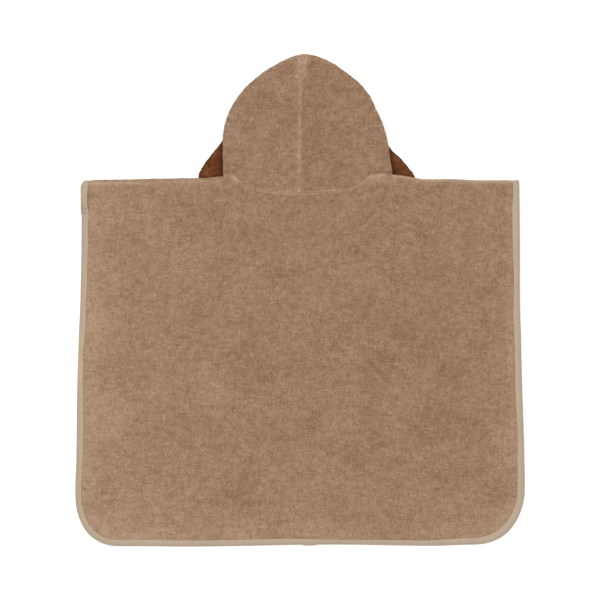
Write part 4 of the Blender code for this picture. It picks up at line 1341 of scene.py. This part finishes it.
pale_thread = thread_material("pale thread", THREAD_PALE)
STITCHED_AT = 2                 # the point of the tape's section that the row runs along
stitched = np.concatenate((rings, rings[:1]))
outward_of_tape = stitched[:, STITCHED_AT] - stitched[:, -1]
outward_of_tape /= np.linalg.norm(outward_of_tape, axis=1)[:, None]
binding_path = stitched[:, STITCHED_AT] + ROW_LIFT * outward_of_tape
stitch_row("binding_stitches", binding_path, outward_of_tape, pale_thread)

# Bar tacks across the tape, close rows of darker thread where its end is laid over on the left side
TACK_THREAD = (0.275, 0.235, 0.150)
TACK_PLACES = (136.6, 130.4)
TACK_ROWS, TACK_ROWS_APART = 3, 0.6
ACROSS_TAPE = range(2, 9)       # the points of the tape's section that a tack lies over
FOLD_POINT = 5                  # the point that tells the layer and the side
dark_thread = thread_material("olive thread", TACK_THREAD)
on_left = rings[(rings[:, FOLD_POINT, 0] < LEFT_TAPE) & (rings[:, FOLD_POINT, 2] > FOLD_AXIS)]
on_left = on_left[np.argsort(on_left[:, FOLD_POINT, 1])]
for tack, place in enumerate(TACK_PLACES):
    for row in range(TACK_ROWS):
        y = place + TACK_ROWS_APART * (row - 1)
        lines = [on_left[:, point] for point in ACROSS_TAPE]
        face = np.array([[np.interp(y, line[:, 1], line[:, k]) for k in range(3)] for line in lines])
        ups = np.tile((-0.1, 0, 1.0), (len(face), 1))
        stitch_row("tack_%d_row_%d" % (tack + 1, row + 1), face + (0, 0, TACK_LIFT), ups, dark_thread)

# The turned edge of the face opening is held by a row of its own, on the side that faces the floor
FACE_HEM, FACE_POINTS = 6.0, 60
for side, name in ((-1, "left"), (1, "right")):
    share = np.linspace(0, 0.995, FACE_POINTS)
    edge = face_edge(side, share)
    way = np.gradient(edge, axis=0)
    way /= np.linalg.norm(way, axis=1)[:, None]
    out = np.stack((way[:, 1], -way[:, 0]), axis=-1) * side
    line = edge + FACE_HEM * out
    settled = settle(line[:, 0], line[:, 1], 0 * line[:, 0], 0.0)
    path = np.column_stack((line, settled + FACE_LIFT))
    ups = np.tile((0, 0, -1.0), (FACE_POINTS, 1))
    stitch_row("face_edge_stitches_" + name, path, ups, pale_thread)

# ------------------------------------------------------------------ floor, camera and light
# A plain pale floor, with the garment seen from straight above in soft, even studio light. The key
# light stands at the upper left and the fill light at the lower right; from here on lengths are metres.
bpy.ops.mesh.primitive_plane_add(size=12, location=(0, 0, 0))
floor = bpy.context.object
floor.name = "floor"
floor_finish = {"Roughness": 0.9, "Emission Strength": 0.2}
floor_finish["Base Color"] = (0.93, 0.93, 0.93, 1)
floor_finish["Emission Color"] = (1, 1, 1, 1)
floor.data.materials.append(new_material("plain pale floor", floor_finish)[0])

CAMERA_HEIGHT = 4.008
camera_data = bpy.data.cameras.new("camera")
camera_data.sensor_width = 36
camera_data.lens = 160
camera_data.clip_end = 50
camera = bpy.data.objects.new("camera", camera_data)
camera.location = (0, 0, CAMERA_HEIGHT)
bpy.context.collection.objects.link(camera)
bpy.context.scene.camera = camera


def soft_light(name, place, size, power):
    """A large square lamp that points at the middle of the garment."""
    data = bpy.data.lights.new(name, "AREA")
    data.shape = "SQUARE"
    data.size = size
    data.energy = power
    lamp = bpy.data.objects.new(name, data)
    lamp.location = place
    x, y, z = place
    lamp.rotation_euler = (math.atan2(math.hypot(x, y), z), 0, math.atan2(x, -y))
    bpy.context.collection.objects.link(lamp)
    return lamp


soft_light("key light", (-1.9, 2.1, 2.7), 2.0, 64)
soft_light("fill light", (2.0, -2.0, 3.0), 2.5, 34)
world = bpy.data.worlds.new("studio")
world.use_nodes = True
sky = world.node_tree.nodes["Background"]
sky.inputs["Color"].default_value = (1, 1, 1, 1)
sky.inputs["Strength"].default_value = 0.95
bpy.context.scene.world = world
bpy.context.scene.view_settings.view_transform = "Standard"
